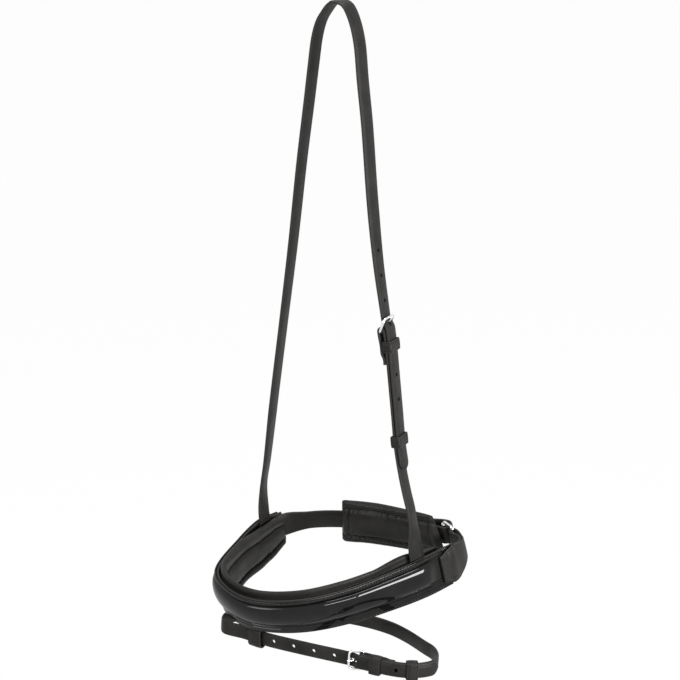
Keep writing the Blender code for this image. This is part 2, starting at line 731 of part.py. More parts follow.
def end_shrink(place, half, length):
    """1 along the middle of a pad, falling in a quarter round to 0 at its ends."""
    left = half - abs(place)
    if left >= length:
        return 1.0
    return math.sqrt(max(0.0, 1 - (1 - left / length) ** 2))


def band_half(place):
    """Half height of the noseband, which narrows at its off-side end."""
    return BAND_HEIGHT / 2 - OFF_NARROWS * ease(-place, HALF_BAND - 0.035, HALF_BAND)


def nose_recess(place):
    """Depth left behind the backing for what is sewn in between it and the pad."""
    deep = SLIP_THICK + 2 * POCKET_PLAY
    ends = ease(abs(place), NEAR_ATTACH - 0.026, NEAR_ATTACH - 0.014)
    loop_deep = 2 * LOOP_THICK + 2 * GAP + 2 * LOOP_BOW
    loop = 1 - ease(abs(place - LOOP_AT), LOOP_WIDTH / 2 + 0.003, LOOP_WIDTH / 2 + 0.014)
    return GAP + max((deep - GAP) * ends, loop_deep * loop)


def nose_pad_section(place):
    """Outline of the noseband's pad, from its lower outer edge round by the inside."""
    face = -nose_recess(place)
    top = band_half(place) + PAD_RISE * through(PAD_ROLL, place / MM)
    low = -band_half(place) - PAD_DROP
    thick = PAD_THICK * (0.45 + 0.55 * end_shrink(place, HALF_BAND - PAD_SHORT + 0.002, 0.016))
    scale = MM * (top - low) / (BAND_HEIGHT + PAD_RISE + PAD_DROP)
    from_low = [(0.0, 4.5), (-0.18, 1.2), (-0.50, 0.0), (-0.88, 1.8), (-1.0, 5.5), (-0.66, 9.2),
                (-0.92, 13.0), (-1.0, 20.0)]
    from_top = [(-0.90, 18.5), (-0.62, 15.0), (-1.0, 11.0), (-1.12, 6.5), (-0.96, 1.8), (-0.60, 0.0),
                (-0.22, 1.8), (0.0, 6.0)]
    return ([(face + share * thick, low + rise_up * scale) for share, rise_up in from_low]
            + [(face + share * thick, top - drop * scale) for share, drop in from_top])


def make_noseband(nose):
    """Backing, patent panel, swell core, lining and foam of the noseband."""
    places = stations(HALF_BAND)
    course = [(s, BACKING_THICK / 2) for s in places]
    ribbon("nose_backing", nose, course, BACKING_THICK, [band_half(s) for s in places])

    face = BACKING_THICK + GAP
    outer = face + PATENT_THICK
    end = RING_STRAP_START + 0.010
    centre = (SWELL_TOP + SWELL_BOTTOM) / 2
    half_swell = (SWELL_TOP - SWELL_BOTTOM) / 2

    def swell(place):
        return SWELL_RISE * (1 - ease(abs(place), end - 0.030, end - 0.014))

    def arch(place, base, half, height):
        steps = 8
        share = band_half(place) / (BAND_HEIGHT / 2)
        out = []
        for k in range(steps + 1):
            angle = TAU / 2 * k / steps
            out.append((base + height * swell(place) / SWELL_RISE * math.sin(angle) ** 0.8,
                        (centre + half * math.cos(angle)) * share))
        return out

    def patent_section(place):
        top = arch(place, outer, half_swell, SWELL_RISE)
        under = arch(place, face, half_swell - 0.0010, SWELL_RISE)
        edge = band_half(place)
        return [(outer, edge)] + top + [(outer, -edge), (face, -edge)] + under[::-1] + [(face, edge)]

    def core_section(place):
        base = BACKING_THICK + GAP
        lift = SWELL_RISE - GAP
        return arch(place, base, half_swell - 0.0022, lift)

    sweep("nose_patent_front", nose, stations(end), patent_section, "patent")
    core_end = end - 0.034
    sweep("nose_swell_core", nose, stations(core_end), core_section, "cord")

    pad_half = HALF_BAND - PAD_SHORT
    lining = sweep("nose_pad_lining", nose, stations(pad_half), nose_pad_section, "lining")
    cavity_half = pad_half - 0.009

    def hollow(place, depth, open_by):
        shape = inset(nose_pad_section(place), depth)
        front = -nose_recess(place) + open_by
        shape[0] = (front, shape[0][1])
        shape[-1] = (front, shape[-1][1])
        return shape

    cavity = sweep("nose_pad_cavity", nose, stations(cavity_half),
                   lambda s: hollow(s, LINING_THICK, 0.002), None)
    cut(lining, cavity)
    sweep("nose_pad_foam", nose, stations(cavity_half - GAP),
          lambda s: hollow(s, LINING_THICK + GAP, 0.0), "foam")


def make_ring(nose):
    """The ring's strap, the ring and its roller. Returns the place and offset of the roller."""
    half_band = RING_STRAP_HEIGHT / 2
    fold_half = CHIN_WIDTH / 2
    half = RING_STRAP_THICK / 2
    wire = RING_WIRE / 2
    turn = wire + FOLD_PLAY + half
    over = BACKING_THICK + GAP + PATENT_THICK + GAP + half
    under = -GAP - half
    layer = half + GAP / 2
    bar = RING_BAR_AT
    patent_end = RING_STRAP_START + 0.010

    def outer(place):
        down = ease(place, patent_end + 0.001, HALF_BAND + 0.012)
        lift = ease(place, bar - 0.014, bar - 0.002)
        return over + (layer - over) * down + (turn - layer) * lift

    def inner(place):
        down = ease(place, HALF_BAND, HALF_BAND + 0.010)
        lift = ease(place, bar - 0.014, bar - 0.002)
        return under + (-layer - under) * down - (turn - layer) * lift

    def half_height(place):
        return half_band + (fold_half - half_band) * ease(place, HALF_BAND + 0.004, bar - 0.018)

    places = spread(RING_STRAP_START, HALF_BAND, 0.0045) + spread(HALF_BAND, bar - 0.002, 0.0055)[1:]
    course = [(s, inner(s)) for s in places]
    for k in range(1, 8):
        angle = -TAU / 4 + TAU / 2 * k / 8
        course.append((bar + turn * math.cos(angle), turn * math.sin(angle)))
    course += [(s, outer(s)) for s in reversed(places)]
    middles = [nose.spot(s, o) for s, o in course]
    widths = [nose.frame(s)[3] for s, _ in course]
    edges = []
    for i, (s, _) in enumerate(course):
        high = half_height(min(s, bar))
        slant = 0.0
        if i > len(course) / 2:
            slant = (1 - ease(s, RING_STRAP_START, RING_STRAP_START + 0.012)) * 0.004
        edges.append((-high + slant, high - slant))
    add_object("ring_strap", loft(strip_rings(middles, widths, RING_STRAP_THICK, edges)), "strap")

    roller = ROLLER_OUTER / 2
    offset = -CHIN_STRAP_LOW + ROLLER_SLACK + roller
    place = bar + math.sqrt(RING_REACH ** 2 - offset ** 2)
    start = nose.spot(bar)
    end = nose.spot(place, offset)
    width = nose.frame(bar)[3]
    reach = end - start
    reach = reach - width * np.dot(reach, width)
    along = unit(reach)
    length = np.linalg.norm(reach)
    half_wide = CHIN_WIDTH / 2 + 0.001 + wire
    middle = start + along * length / 2
    path = [middle + along * a + width * b
            for a, b in rounded(length / 2, half_wide, 0.001 + wire, 4)]
    add_object("ring_loop", tube(path, wire, 8, True, np.cross(along, width)), "chrome", start)

    rings = []
    lift = np.cross(along, width)
    bore = wire + FOLD_PLAY
    end = start + reach
    tall = half_wide - wire - 0.0004
    for radius, height in ((bore, -tall), (roller, -tall), (roller, tall), (bore, tall)):
        rings.append([end + width * height + (along * math.cos(TAU * k / 16)
                                              + lift * math.sin(TAU * k / 16)) * radius
                      for k in range(16)])
    add_object("ring_roller", loft(rings, True), "chrome", end)
    return place, offset


CHIN_STRAP_LOW = -GAP   # outer face of the chin strap's inner run, on the noseband's line


def make_chin(nose, roller_at, roller_offset):
    """The chin strap through the ring and back to its buckle, and the pad under it."""
    half = CHIN_THICK / 2
    inner = CHIN_STRAP_LOW - half
    chape_far = CHIN_STRAP_LOW + GAP + CHAPE_THICK * 1.5 + GAP
    wire = BUCKLE_WIRE / 2
    chape_top = CHIN_STRAP_LOW + GAP + 2 * CHAPE_THICK + 2 * FOLD_PLAY + 2 * wire
    seat = CHIN_STRAP_LOW + GAP + half
    strap_offset = (seat + chape_top) / 2 + 0.0006
    buckle = Buckle(nose, roller_at + CHIN_BUCKLE_AT, -1, CHAPE_THICK, CHIN_THICK, CHIN_WIDTH,
                    chape_far, strap_offset, False, CHIN_KEEPER_AT, CHAPE_LENGTH, seat)

    turn = roller_offset - inner
    sewn = [nose.length + s for s in (-CHIN_SEWN, -0.190, -HALF_BAND, -HALF_BAND - 0.010)]
    places = sewn + spread(sewn[-1] - 0.008, buckle.place(-CHAPE_LENGTH - 0.010), 0.010)
    places += spread(places[-1], roller_at + 0.004, 0.007)[1:]
    course = [(s, inner) for s in places]
    for k in range(0, 9):
        angle = -TAU / 4 - TAU / 2 * k / 8
        course.append((roller_at + turn * math.cos(angle), roller_offset + turn * math.sin(angle)))
    top = roller_offset + turn
    front = buckle.place(0.020)
    for s in spread(roller_at + 0.004, front, 0.006)[:-1]:
        course.append((s, top + (strap_offset - top) * ease(s, roller_at, front)))
    course += buckle.over_course(0.020, CHIN_BILLET)
    widths = tip_widths(course, CHIN_WIDTH / 2, 0.009)
    for i, place in enumerate(places):
        narrowed = ease(nose.length - place, HALF_BAND, HALF_BAND + 0.030)
        widths[i] += CHIN_SPREAD / 2 * (1 - narrowed)
    strap = ribbon("chin_strap", nose, course, CHIN_THICK, widths)
    in_use = buckle.tongue_place()
    first, last = CHIN_HOLES
    holes = [(in_use - CHIN_PITCH * k, HOLE_IN_USE if k == 0 else HOLE_SIZE)
             for k in range(first, last + 1)]
    punch(strap, "chin_holes", nose, holes, lambda s: buckle.over(buckle.sigma(s)), 0.003)

    chape = ribbon("chin_buckle_chape", nose, buckle.fold_course(-CHAPE_LENGTH),
                   CHAPE_THICK, CHIN_WIDTH / 2)
    buckle.tongue_slot(chape, "chin_tongue_slot")
    buckle.frame_object("chin_buckle_frame")
    buckle.tongue_object("chin_buckle_tongue")

    low = inner - half
    buckle.keeper("chin_fixed_keeper", CHIN_KEEPER_AT, (low, buckle.stack(CHIN_KEEPER_AT)[1]))
    runner_at = CHAPE_LENGTH + 0.014 + KEEPER_WIDTH / 2
    buckle.runner("chin_sliding_keeper", runner_at, (low, buckle.stack(runner_at)[1]))

    start = roller_at + CHIN_PAD_START
    middle = start + CHIN_PAD_LENGTH / 2
    plate = low - KEEPER_THICK - SIDE_PLAY - GAP - CHIN_PLATE_THICK / 2
    half_pad = CHIN_PAD_LENGTH / 2

    def half_height(place, edge):
        return edge * (0.95 + 0.05 * end_shrink(place - middle, half_pad, 0.005))

    plate_half = half_pad - 0.003
    places = spread(middle - plate_half, middle - plate_half + 0.012, 0.004)
    places += spread(middle - plate_half + 0.012, middle + plate_half - 0.012, 0.011)[1:]
    places += spread(middle + plate_half - 0.012, middle + plate_half, 0.004)[1:]
    middles = [nose.spot(s, plate, CHIN_PAD_LIFT) for s in places]
    widths = [nose.frame(s)[3] for s in places]
    edges = [(-half_height(s, CHIN_PAD_HEIGHT / 2 - 0.003),
              half_height(s, CHIN_PAD_HEIGHT / 2 - 0.003)) for s in places]
    rings = strip_rings(middles, widths, CHIN_PLATE_THICK, edges)
    add_object("chin_pad_plate", loft(rings), "strap")

    face = plate - CHIN_PLATE_THICK / 2 - GAP

    def pad_section(place):
        high = half_height(place, CHIN_PAD_HEIGHT / 2)
        thick = CHIN_PAD_THICK * (0.45 + 0.55 * end_shrink(place - middle, half_pad, 0.016))
        shape = [(0.0, -0.90), (-0.30, -0.985), (-0.62, -1.0), (-0.92, -0.92), (-0.98, -0.78),
                 (-0.74, -0.66), (-0.98, -0.52), (-1.10, 0.0), (-0.98, 0.52), (-0.74, 0.66),
                 (-0.98, 0.78), (-0.92, 0.92), (-0.62, 1.0), (-0.30, 0.985), (0.0, 0.90)]
        return [(face + share * thick, CHIN_PAD_LIFT + h * high) for share, h in shape]

    def pad_places(half_length):
        low_end = spread(middle - half_length, middle - half_length + 0.012, 0.004)
        high_end = spread(middle + half_length - 0.012, middle + half_length, 0.004)
        return low_end + spread(low_end[-1], high_end[0], 0.011)[1:-1] + high_end

    lining = sweep("chin_pad_lining", nose, pad_places(half_pad), pad_section, "lining")

    def hollow(place, depth, open_by):
        shape = inset(pad_section(place), depth)
        shape[0] = (face + open_by, shape[0][1])
        shape[-1] = (face + open_by, shape[-1][1])
        return shape

    cavity_half = half_pad - 0.007
    cavity = sweep("chin_pad_cavity", nose, pad_places(cavity_half),
                   lambda s: hollow(s, LINING_THICK, 0.002), None)
    cut(lining, cavity)
    sweep("chin_pad_foam", nose, pad_places(cavity_half - GAP),
          lambda s: hollow(s, LINING_THICK + GAP, 0.0), "foam")


def make_flash(nose, flash):
    """The loop under the nose; then, on their own joint, the flash strap and its buckle."""
    point, along, normal, up = nose.frame(LOOP_AT)
    gap = (LOOP_THICK + GAP) / 2
    centre = -GAP - LOOP_BOW - LOOP_THICK - GAP / 2
    edge = -BAND_HEIGHT / 2 - LOOP_DIP
    fall = LOOP_FALL + FLASH_WIDTH / 2 + LOOP_PLAY + LOOP_THICK / 2
    open_half = FLASH_THICK / 2 + LOOP_PLAY + LOOP_THICK / 2
    down = np.array([0.0, 0.0, -1.0])
    side = unit(np.cross(down, along))
    if np.dot(side, normal) < 0:
        side = -side

    def wall(sign):
        out = [point + normal * (centre + sign * gap) + up * h
               for h in spread(edge + LOOP_TAB, edge, 0.0055)]
        base = point + normal * centre + up * edge
        for drop in (0.002, 0.004, 0.0065, 0.011, fall - open_half):
            wide = gap + (open_half - gap) * ease(drop, 0.0, 0.0060)
            out.append(base + down * drop + side * sign * wide)
        return out

    base = point + normal * centre + up * edge + down * (fall - open_half)
    bottom = []
    for k in range(1, 6):
        angle = TAU / 2 * k / 6
        bottom.append(base + side * open_half * math.cos(angle) + down * open_half * math.sin(angle))
    middles = wall(1) + bottom + wall(-1)[::-1]
    edges = [(-LOOP_WIDTH / 2, LOOP_WIDTH / 2)] * len(middles)
    rings = strip_rings(middles, [along] * len(middles), LOOP_THICK, edges)
    add_object("flash_loop", loft(rings), "strap")

    start_group("flash", flash.points[0])
    buckle = Buckle(flash, FLASH_BUCKLE_AT, -1, FLASH_THICK, FLASH_THICK, FLASH_WIDTH,
                    0.0, 0.0, True, FLASH_KEEPER_AT)
    round_end = FLASH_BUCKLE_AT + flash.length - 0.030
    course = buckle.fold_course(-(round_end - FLASH_BUCKLE_AT))
    over = buckle.over_course(0.030, FLASH_BILLET)
    course += [(s + flash.length, o) for s, o in over[1:]]
    widths = tip_widths(course, FLASH_WIDTH / 2, 0.007)
    strap = ribbon("flash_strap", flash, course, FLASH_THICK, widths)
    buckle.tongue_slot(strap, "flash_tongue_slot")
    first, last = FLASH_HOLES
    in_use = buckle.tongue_place()
    holes = [(in_use - FLASH_PITCH * k, HOLE_IN_USE if k == 0 else HOLE_SIZE)
             for k in range(first, last + 1)]
    punch(strap, "flash_holes", flash, holes, lambda s: buckle.over(buckle.sigma(s)), 0.0028)
    buckle.frame_object("flash_buckle_frame")
    buckle.tongue_object("flash_buckle_tongue")
    buckle.keeper("flash_fixed_keeper", FLASH_KEEPER_AT, buckle.stack(FLASH_KEEPER_AT))
    buckle.runner("flash_sliding_keeper", FLASH_RUNNER_AT, buckle.stack(FLASH_RUNNER_AT), True)


def clear_old():
    for old in list(bpy.data.objects):
        bpy.data.objects.remove(old, do_unlink=True)


def main():
    clear_old()
    start_group("flash_bridle", (0.0, 0.0, 0.0))
    nose = noseband_line()
    slip = sliphead_line(nose)
    flash = flash_line(nose)
    make_sliphead(slip)
    near = nose.spot(NEAR_ATTACH)
    off = nose.spot(-OFF_ATTACH)
    start_group("noseband", (near + off) / 2)
    make_noseband(nose)
    roller_at, roller_offset = make_ring(nose)
    make_chin(nose, roller_at, roller_offset)
    make_flash(nose, flash)


main()
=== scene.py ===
"""Looks of the flash bridle, built over its packed CAD frame.

The straps, the patent noseband, its soft pads and the hardware are modelled finer than the CAD
solids, on the same three lines: the sliphead, the noseband and the flash strap.
A place on a line is given by its length along it, an offset outwards and a height across it.
"""

import math

import bmesh
import bpy
import numpy as np
from bpy.props import FloatProperty, FloatVectorProperty, PointerProperty
from bpy.types import Operator, Panel, PropertyGroup
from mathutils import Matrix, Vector


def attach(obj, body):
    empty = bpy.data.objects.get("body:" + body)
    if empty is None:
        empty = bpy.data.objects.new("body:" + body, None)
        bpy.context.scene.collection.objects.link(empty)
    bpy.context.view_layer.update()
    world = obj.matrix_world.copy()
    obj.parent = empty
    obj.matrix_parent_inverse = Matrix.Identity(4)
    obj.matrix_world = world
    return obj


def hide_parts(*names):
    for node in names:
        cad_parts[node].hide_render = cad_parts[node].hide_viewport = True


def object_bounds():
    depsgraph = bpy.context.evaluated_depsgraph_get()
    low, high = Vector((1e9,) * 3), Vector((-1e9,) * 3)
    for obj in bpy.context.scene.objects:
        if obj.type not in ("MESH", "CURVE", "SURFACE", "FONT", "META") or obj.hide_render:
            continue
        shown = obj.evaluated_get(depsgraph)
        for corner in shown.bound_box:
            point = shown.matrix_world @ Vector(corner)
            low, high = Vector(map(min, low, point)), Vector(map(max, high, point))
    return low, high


bl_info = {
    "name": "Flash bridle",
    "version": (1, 0, 0),
    "blender": (4, 5, 0),
    "location": "View3D > Sidebar > Bridle",
    "description": "Builds a padded patent flash noseband on its sliphead, over a CAD frame",
    "category": "Object",
}

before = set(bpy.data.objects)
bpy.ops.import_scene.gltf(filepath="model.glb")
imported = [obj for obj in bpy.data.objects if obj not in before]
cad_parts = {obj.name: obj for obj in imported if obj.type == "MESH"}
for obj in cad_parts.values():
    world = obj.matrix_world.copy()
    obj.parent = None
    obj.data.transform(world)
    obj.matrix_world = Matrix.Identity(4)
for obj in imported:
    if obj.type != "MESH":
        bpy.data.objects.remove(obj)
CAD_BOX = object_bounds()

MM = 0.001
TAU = 2 * math.pi

# Clearances between leathers, as in the CAD, and some more room in the pad's pocket
GAP = 0.0003
SIDE_PLAY = 0.0005
POCKET_PLAY = 0.0008
POCKET_EASE = 0.0005
FOLD_PLAY = 0.0003

# Sliphead
SLIP_WIDTH = 0.017
SLIP_THICK = 0.003
SLIP_DROP = 0.5535
SEAT_LENGTH = 0.010
POCKET_DEPTH = 0.018
CHEEK_LENGTH = 0.2475
CHEEK_BILLET = 0.1375
CHEEK_PITCH = 0.024
CHEEK_HOLES = (-3, 3)
CHEEK_KEEPER_AT = 0.0150
CHEEK_RUNNER_AT = 0.1085
CHEEK_DRAW = 0.003

# Noseband
NOSE_ACROSS = 0.201
NOSE_DEEP = 0.203
NOSE_SETBACK = -0.022
NOSE_PITCH = math.radians(10.0)
CHIN_RISE = 0.003
BAND_HEIGHT = 0.040
BACKING_THICK = 0.003
PATENT_THICK = 0.0014
SWELL_RISE = 0.0050
SWELL_TOP = 0.0145
SWELL_BOTTOM = -0.0080
OFF_NARROWS = 0.006
HALF_BAND = 0.200
NEAR_ATTACH = 0.166
OFF_ATTACH = 0.172
PAD_THICK = 0.0070
PAD_RISE = 0.0060
PAD_DROP = 0.003
PAD_SHORT = 0.003
RING_STRAP_THICK = 0.0025
RING_STRAP_HEIGHT = 0.036
RING_STRAP_START = 0.187
RING_BAR_AT = 0.251
RING_REACH = 0.015
RING_WIRE = 0.0030
ROLLER_OUTER = 0.0060
ROLLER_SLACK = 0.0012

# Chin strap and pad
CHIN_WIDTH = 0.020
CHIN_THICK = 0.003
CHIN_SEWN = 0.184
CHIN_SPREAD = 0.006
CHIN_BUCKLE_AT = 0.046
CHIN_BILLET = 0.068
CHIN_PITCH = 0.020
CHIN_HOLES = (-2, 1)
CHAPE_THICK = 0.0025
CHAPE_LENGTH = 0.036
CHIN_PAD_START = 0.002
CHIN_PAD_LENGTH = 0.110
CHIN_PAD_HEIGHT = 0.049
CHIN_PAD_THICK = 0.0070
CHIN_PAD_LIFT = 0.0035
CHIN_PLATE_THICK = 0.0015
CHIN_STRAP_LOW = -GAP

# Flash strap and its loop
FLASH_WIDTH = 0.014
FLASH_THICK = 0.0028
FLASH_TILT = math.radians(-5.0)
FLASH_BUCKLE_AT = 0.1125
FLASH_BILLET = 0.0755
FLASH_PITCH = 0.0213
FLASH_HOLES = (-2, 4)
FLASH_KEEPER_AT = 0.0150
FLASH_RUNNER_AT = 0.0495
LOOP_AT = -0.014
LOOP_WIDTH = 0.015
LOOP_THICK = 0.0018
LOOP_TAB = 0.015
LOOP_BOW = 0.0007
LOOP_DIP = 0.0015
LOOP_FALL = 0.0113
LOOP_PLAY = 0.0022

# Buckles, tongues and keepers
BUCKLE_WIRE = 0.0026
BUCKLE_REACH = 0.012
BUCKLE_SIDE = 0.0007
TONGUE_WIRE = 0.0020
FOLD_RETURN = 0.012
KEEPER_WIDTH = 0.011
KEEPER_THICK = 0.0016
CHIN_KEEPER_AT = 0.0105
HOLE_SIZE = 0.0038
HOLE_IN_USE = 0.0074
TONGUE_THROUGH = 0.0073

# The three lines, with the same points as the CAD
NOSE_SHAPE = [(2, -94), (36, -74), (63, -39), (84, 8), (93, 34), (99, 62), (103, 82), (97, 99),
              (78, 108), (10, 100), (-45, 84), (-80, 65), (-98, 42), (-97, 12), (-88, -25),
              (-64, -80), (-28, -96)]
NOSE_LEAN = [(0.0, 12), (0.07, 10), (0.14, 6), (0.22, -3), (0.27, -8), (0.40, -6), (0.52, 0),
             (0.72, -2), (0.80, -2), (0.92, 6)]
PAD_ROLL = [(-200, 0.1), (-165, 0.1), (-150, 0.5), (-125, 1.0), (155, 1.0), (182, 0.4), (200, -0.3)]
NEAR_LEG = [(86, 7.5, 0.872), (80, 7.0, 0.835), (74.5, 7, 0.800), (69.5, 6.5, 0.755),
            (65.5, 6.0, 0.690), (61.5, 5.5, 0.626), (57.5, 5.0, 0.564), (53, 4.5, 0.517),
            (45, 4.0, 0.435), (37.5, 3.5, 0.327), (31, 3.0, 0.200), (26, 2.5, 0.127),
            (22, 2.0, 0.062), (16.5, 1.2, 0.027), (10, 0.4, 0.006)]
OFF_LEG = [(-10, -0.4, 0.006), (-15.5, -1.0, 0.018), (-21, -1.8, 0.033), (-26, -2.5, 0.060),
           (-30.5, -3, 0.109), (-36, -3, 0.170), (-45, -4, 0.276), (-56, -5, 0.421),
           (-69, -6, 0.572), (-82.5, -7, 0.726), (-92, -8, 0.846), (-97, -8.5, 0.900)]
NEAR_TURN = [(0.0, -5), (0.35, -6), (0.52, -15), (0.88, -17)]
OFF_TURN = [(0.0, -5), (0.35, -11), (0.58, -16), (0.75, -17), (0.91, -27)]
FLASH_SHAPE = [(0, 0), (16, 2.5), (48, 12), (94, 27.5), (140, 43), (151, 51), (158, 62), (160, 74),
               (156, 85), (148, 94), (137, 101), (125, 104.5), (93, 114), (67, 117), (30, 109),
               (-10, 86), (-41, 52), (-52, 25), (-50, 5), (-38, -7), (-16, -2.5)]

# Shares of the drop over which each leg turns to lie flat on the noseband
BLEND_FROM = 0.875
NEAR_BLEND_TO = 0.955
OFF_BLEND_TO = 0.957

# Steps between points along the lines, straps, turns and pads
FINE = 0.001
STRAP_STEP = 0.0025
BEND_STEP = 0.0014
OVER_STEP = 0.0013
PAD_STEP = 0.0022
CHIN_PAD_STEP = 0.0018

# Places along a strap from its buckle's hinge bar, and the lengths over which layers shift there
RISE_FROM = -0.015
RISE_TO = -0.003
KEEPER_CLEAR = 0.0005
KEEPER_BLEND = 0.0075
FOLD_END_CLEAR = 0.001
FOLD_END_BLEND = 0.013
CLIMB_FROM = 0.0005
OVER_START = 0.030
CHIN_OVER_START = 0.020
BUCKLE_ZONE = 0.018
TIP_ROUND = 0.008
TIP_LENGTH = 0.007
CHIN_TIP_LENGTH = 0.009
FOLD_ZONE = 0.016
BEND_GAP = 0.0008
SLOT_BACK = 0.0050
SLOT_FRONT = 0.0072

# Seams and stitches
CHIN_SEAM_IN = 0.0085
CHIN_SEAM_HIGH = 0.66
FOLD_STITCH_IN = 0.0022
TAB_STITCH_IN = 0.0032
TAB_ROW_IN = 0.0038
TAB_ROW_AT = 0.0065
THREAD_SINK = 0.00005
PANEL_SINK = 0.00036

# Slanted ends of the chin pad: length affected, shift along the pad, and slope
CHIN_LEAN_FAR = (0.030, 0.0012, 0.16)
CHIN_LEAN_NEAR = (0.040, 0.0040, 0.19)

# Sewn channels of the nose pad, in millimetres from its bottom and from its top
NOSE_CHANNELS = (9.2, 15.0)

# Wavelengths of the gathers, and of the slower changes in their spacing and their height
GATHER_WAVES = (0.0068, 0.031, 0.047)

# Both pads: thickness left at their ends, length over which it falls, and how they are blown up
THIN_END = 0.45
END_TAPER = 0.016
SWELL_FRAMES = 20
COVER = {"quality": 5, "mass": 0.15, "use_pressure": True, "uniform_pressure_force": 4.0,
         "tension_stiffness": 6.0, "compression_stiffness": 6.0, "bending_stiffness": 0.05}

WHITE = (1.0, 1.0, 1.0, 1.0)
SENSOR = 36.0
FLOOR_HALF = 9.0


def measure(name, default, low, about):
    return FloatProperty(name=name, default=default, min=low, unit='LENGTH', description=about)


class BridleSizes(PropertyGroup):
    """Sizes of the finish that a user would change."""
    crease_in: measure("Crease inset", 0.0017, 0.0008, "Distance of the creased line from a strap's edge")
    crease_deep: measure("Crease depth", 0.00022, 0.0, "Depth of the creased line")
    crown: measure("Strap crown", 0.00025, 0.0, "How far a strap's face falls off towards its edges")
    stitch_pitch: measure("Stitch pitch", 0.0030, 0.0015, "Distance from one stitch to the next")
    stitch_length: measure("Stitch length", 0.0023, 0.0008, "Length of each stitch")
    thread: measure("Thread", 0.00062, 0.0002, "Thickness of the sewing thread")
    pad_swell: measure("Pad swell", 0.0013, 0.0, "Most that the pads' leather moves when it is blown up")
    pucker: measure("Puckers", 0.0011, 0.0, "Depth of the gathers beside the pads' sewn channels")


def colour(name, value, about):
    return FloatVectorProperty(name=name, subtype='COLOR', size=3, default=value, min=0.0, max=1.0,
                               description=about)


class BridleFinish(PropertyGroup):
    """Colours of the leathers, thread and hardware."""
    strap: colour("Strap leather", (0.0112, 0.0107, 0.0097), "Colour of the strap leather")
    edge: colour("Strap edge", (0.021, 0.020, 0.0185), "Colour of the dyed cut edges")
    patent: colour("Patent leather", (0.0028, 0.0026, 0.0025), "Colour of the patent leather")
    lining: colour("Lining leather", (0.0120, 0.0116, 0.0108), "Colour of the soft lining leather")
    thread: colour("Thread", (0.048, 0.045, 0.040), "Colour of the sewing thread")
    hardware: colour("Hardware", (0.80, 0.81, 0.82), "Colour of the plated buckles and ring")


class BridleStudio(PropertyGroup):
    """Camera, lamps and floor."""
    azimuth: FloatProperty(name="Azimuth", default=math.radians(42.0), subtype='ANGLE',
                           description="Camera's turn round the bridle from its front")
    elevation: FloatProperty(name="Elevation", default=math.radians(17.2), subtype='ANGLE',
                             description="Camera's height above the horizon")
    distance: measure("Distance", 1.9, 0.5, "Camera's distance from the bridle")
    lens: FloatProperty(name="Lens", default=105.35, min=20.0,
                        description="Focal length in millimetres on a 36 mm sensor")
    floor_drop: measure("Floor", 0.30, 0.0, "Distance of the floor below the bridle")
    lamp: FloatProperty(name="Lamps", default=1.0, min=0.0,
                        description="Strength of the studio lamps")


def ease(x, start, end):
    """Goes smoothly from 0 at start to 1 at end."""
    t = min(max((x - start) / (end - start), 0.0), 1.0)
    return t * t * (3 - 2 * t)


def spread(start, end, step):
    """Even places from start to end, about step apart."""
    count = max(1, math.ceil(abs(end - start) / step))
    return [start + (end - start) * i / count for i in range(count + 1)]


def through(knots, x):
    """Reads a value from (place, value) knots."""
    return float(np.interp(x, [k[0] for k in knots], [k[1] for k in knots]))


def unit(v):
    return v / np.linalg.norm(v)


def smooth(points, closed, step=FINE):
    """A centripetal Catmull-Rom curve through the points, read densely."""
    pts = [np.array(p, float) for p in points]
    if closed:
        ring = [pts[-1]] + pts + pts[:2]
    else:
        ring = [2 * pts[0] - pts[1]] + pts + [2 * pts[-1] - pts[-2]]
    out = []
    for a, b, c, d in zip(ring, ring[1:], ring[2:], ring[3:]):
        ta, tb, tc = (math.sqrt(np.linalg.norm(q - p)) for p, q in ((a, b), (b, c), (c, d)))
        slope_b = (b - a) / ta - (c - a) / (ta + tb) + (c - b) / tb
        slope_c = (c - b) / tb - (d - b) / (tb + tc) + (d - c) / tc
        count = max(4, int(np.linalg.norm(c - b) / step))
        for i in range(count):
            t = i / count
            out.append((2 * t**3 - 3 * t**2 + 1) * b + (t**3 - 2 * t**2 + t) * tb * slope_b
                       + (3 * t**2 - 2 * t**3) * c + (t**3 - t**2) * tb * slope_c)
    if not closed:
        out.append(pts[-1])
    return np.array(out)


class Line:
    """A curve with a frame at each place: tangent, outward normal and width direction."""

    def __init__(self, points, width_at, side, closed=False):
        if closed:
            points = np.vstack([points, points[:1]])
        self.closed = closed
        self.points = points
        steps = np.linalg.norm(np.diff(points, axis=0), axis=1)
        self.places = np.concatenate([[0.0], np.cumsum(steps)])
        self.length = self.places[-1]
        first, last = (points[-2:-1], points[1:2]) if closed else (points[:1], points[-1:])
        before = np.vstack([first, points[:-1]])
        after = np.vstack([points[1:], last])
        self.tangents = np.array([unit(b - a) for a, b in zip(before, after)])
        widths = []
        for place, point, tangent in zip(self.places, points, self.tangents):
            width = width_at(place, self.length, point, tangent)
            widths.append(unit(width - tangent * np.dot(width, tangent)))
        self.widths = np.array(widths)
        self.normals = side * np.cross(self.tangents, self.widths)

    def read(self, table, place):
        if self.closed:
            place = place % self.length
        return np.array([np.interp(place, self.places, table[:, k]) for k in range(3)])

    def frame(self, place):
        """Point, tangent, normal and width direction at a place."""
        return (self.read(self.points, place), unit(self.read(self.tangents, place)),
                unit(self.read(self.normals, place)), unit(self.read(self.widths, place)))

    def spot(self, place, offset=0.0, height=0.0):
        point, _, normal, width = self.frame(place)
        return point + normal * offset + width * height


def tilted(angle):
    """Directions across, backwards and upwards in a plane whose back is tilted up."""
    return (np.array([1.0, 0.0, 0.0]), np.array([0.0, math.cos(angle), math.sin(angle)]),
            np.array([0.0, -math.sin(angle), math.cos(angle)]))


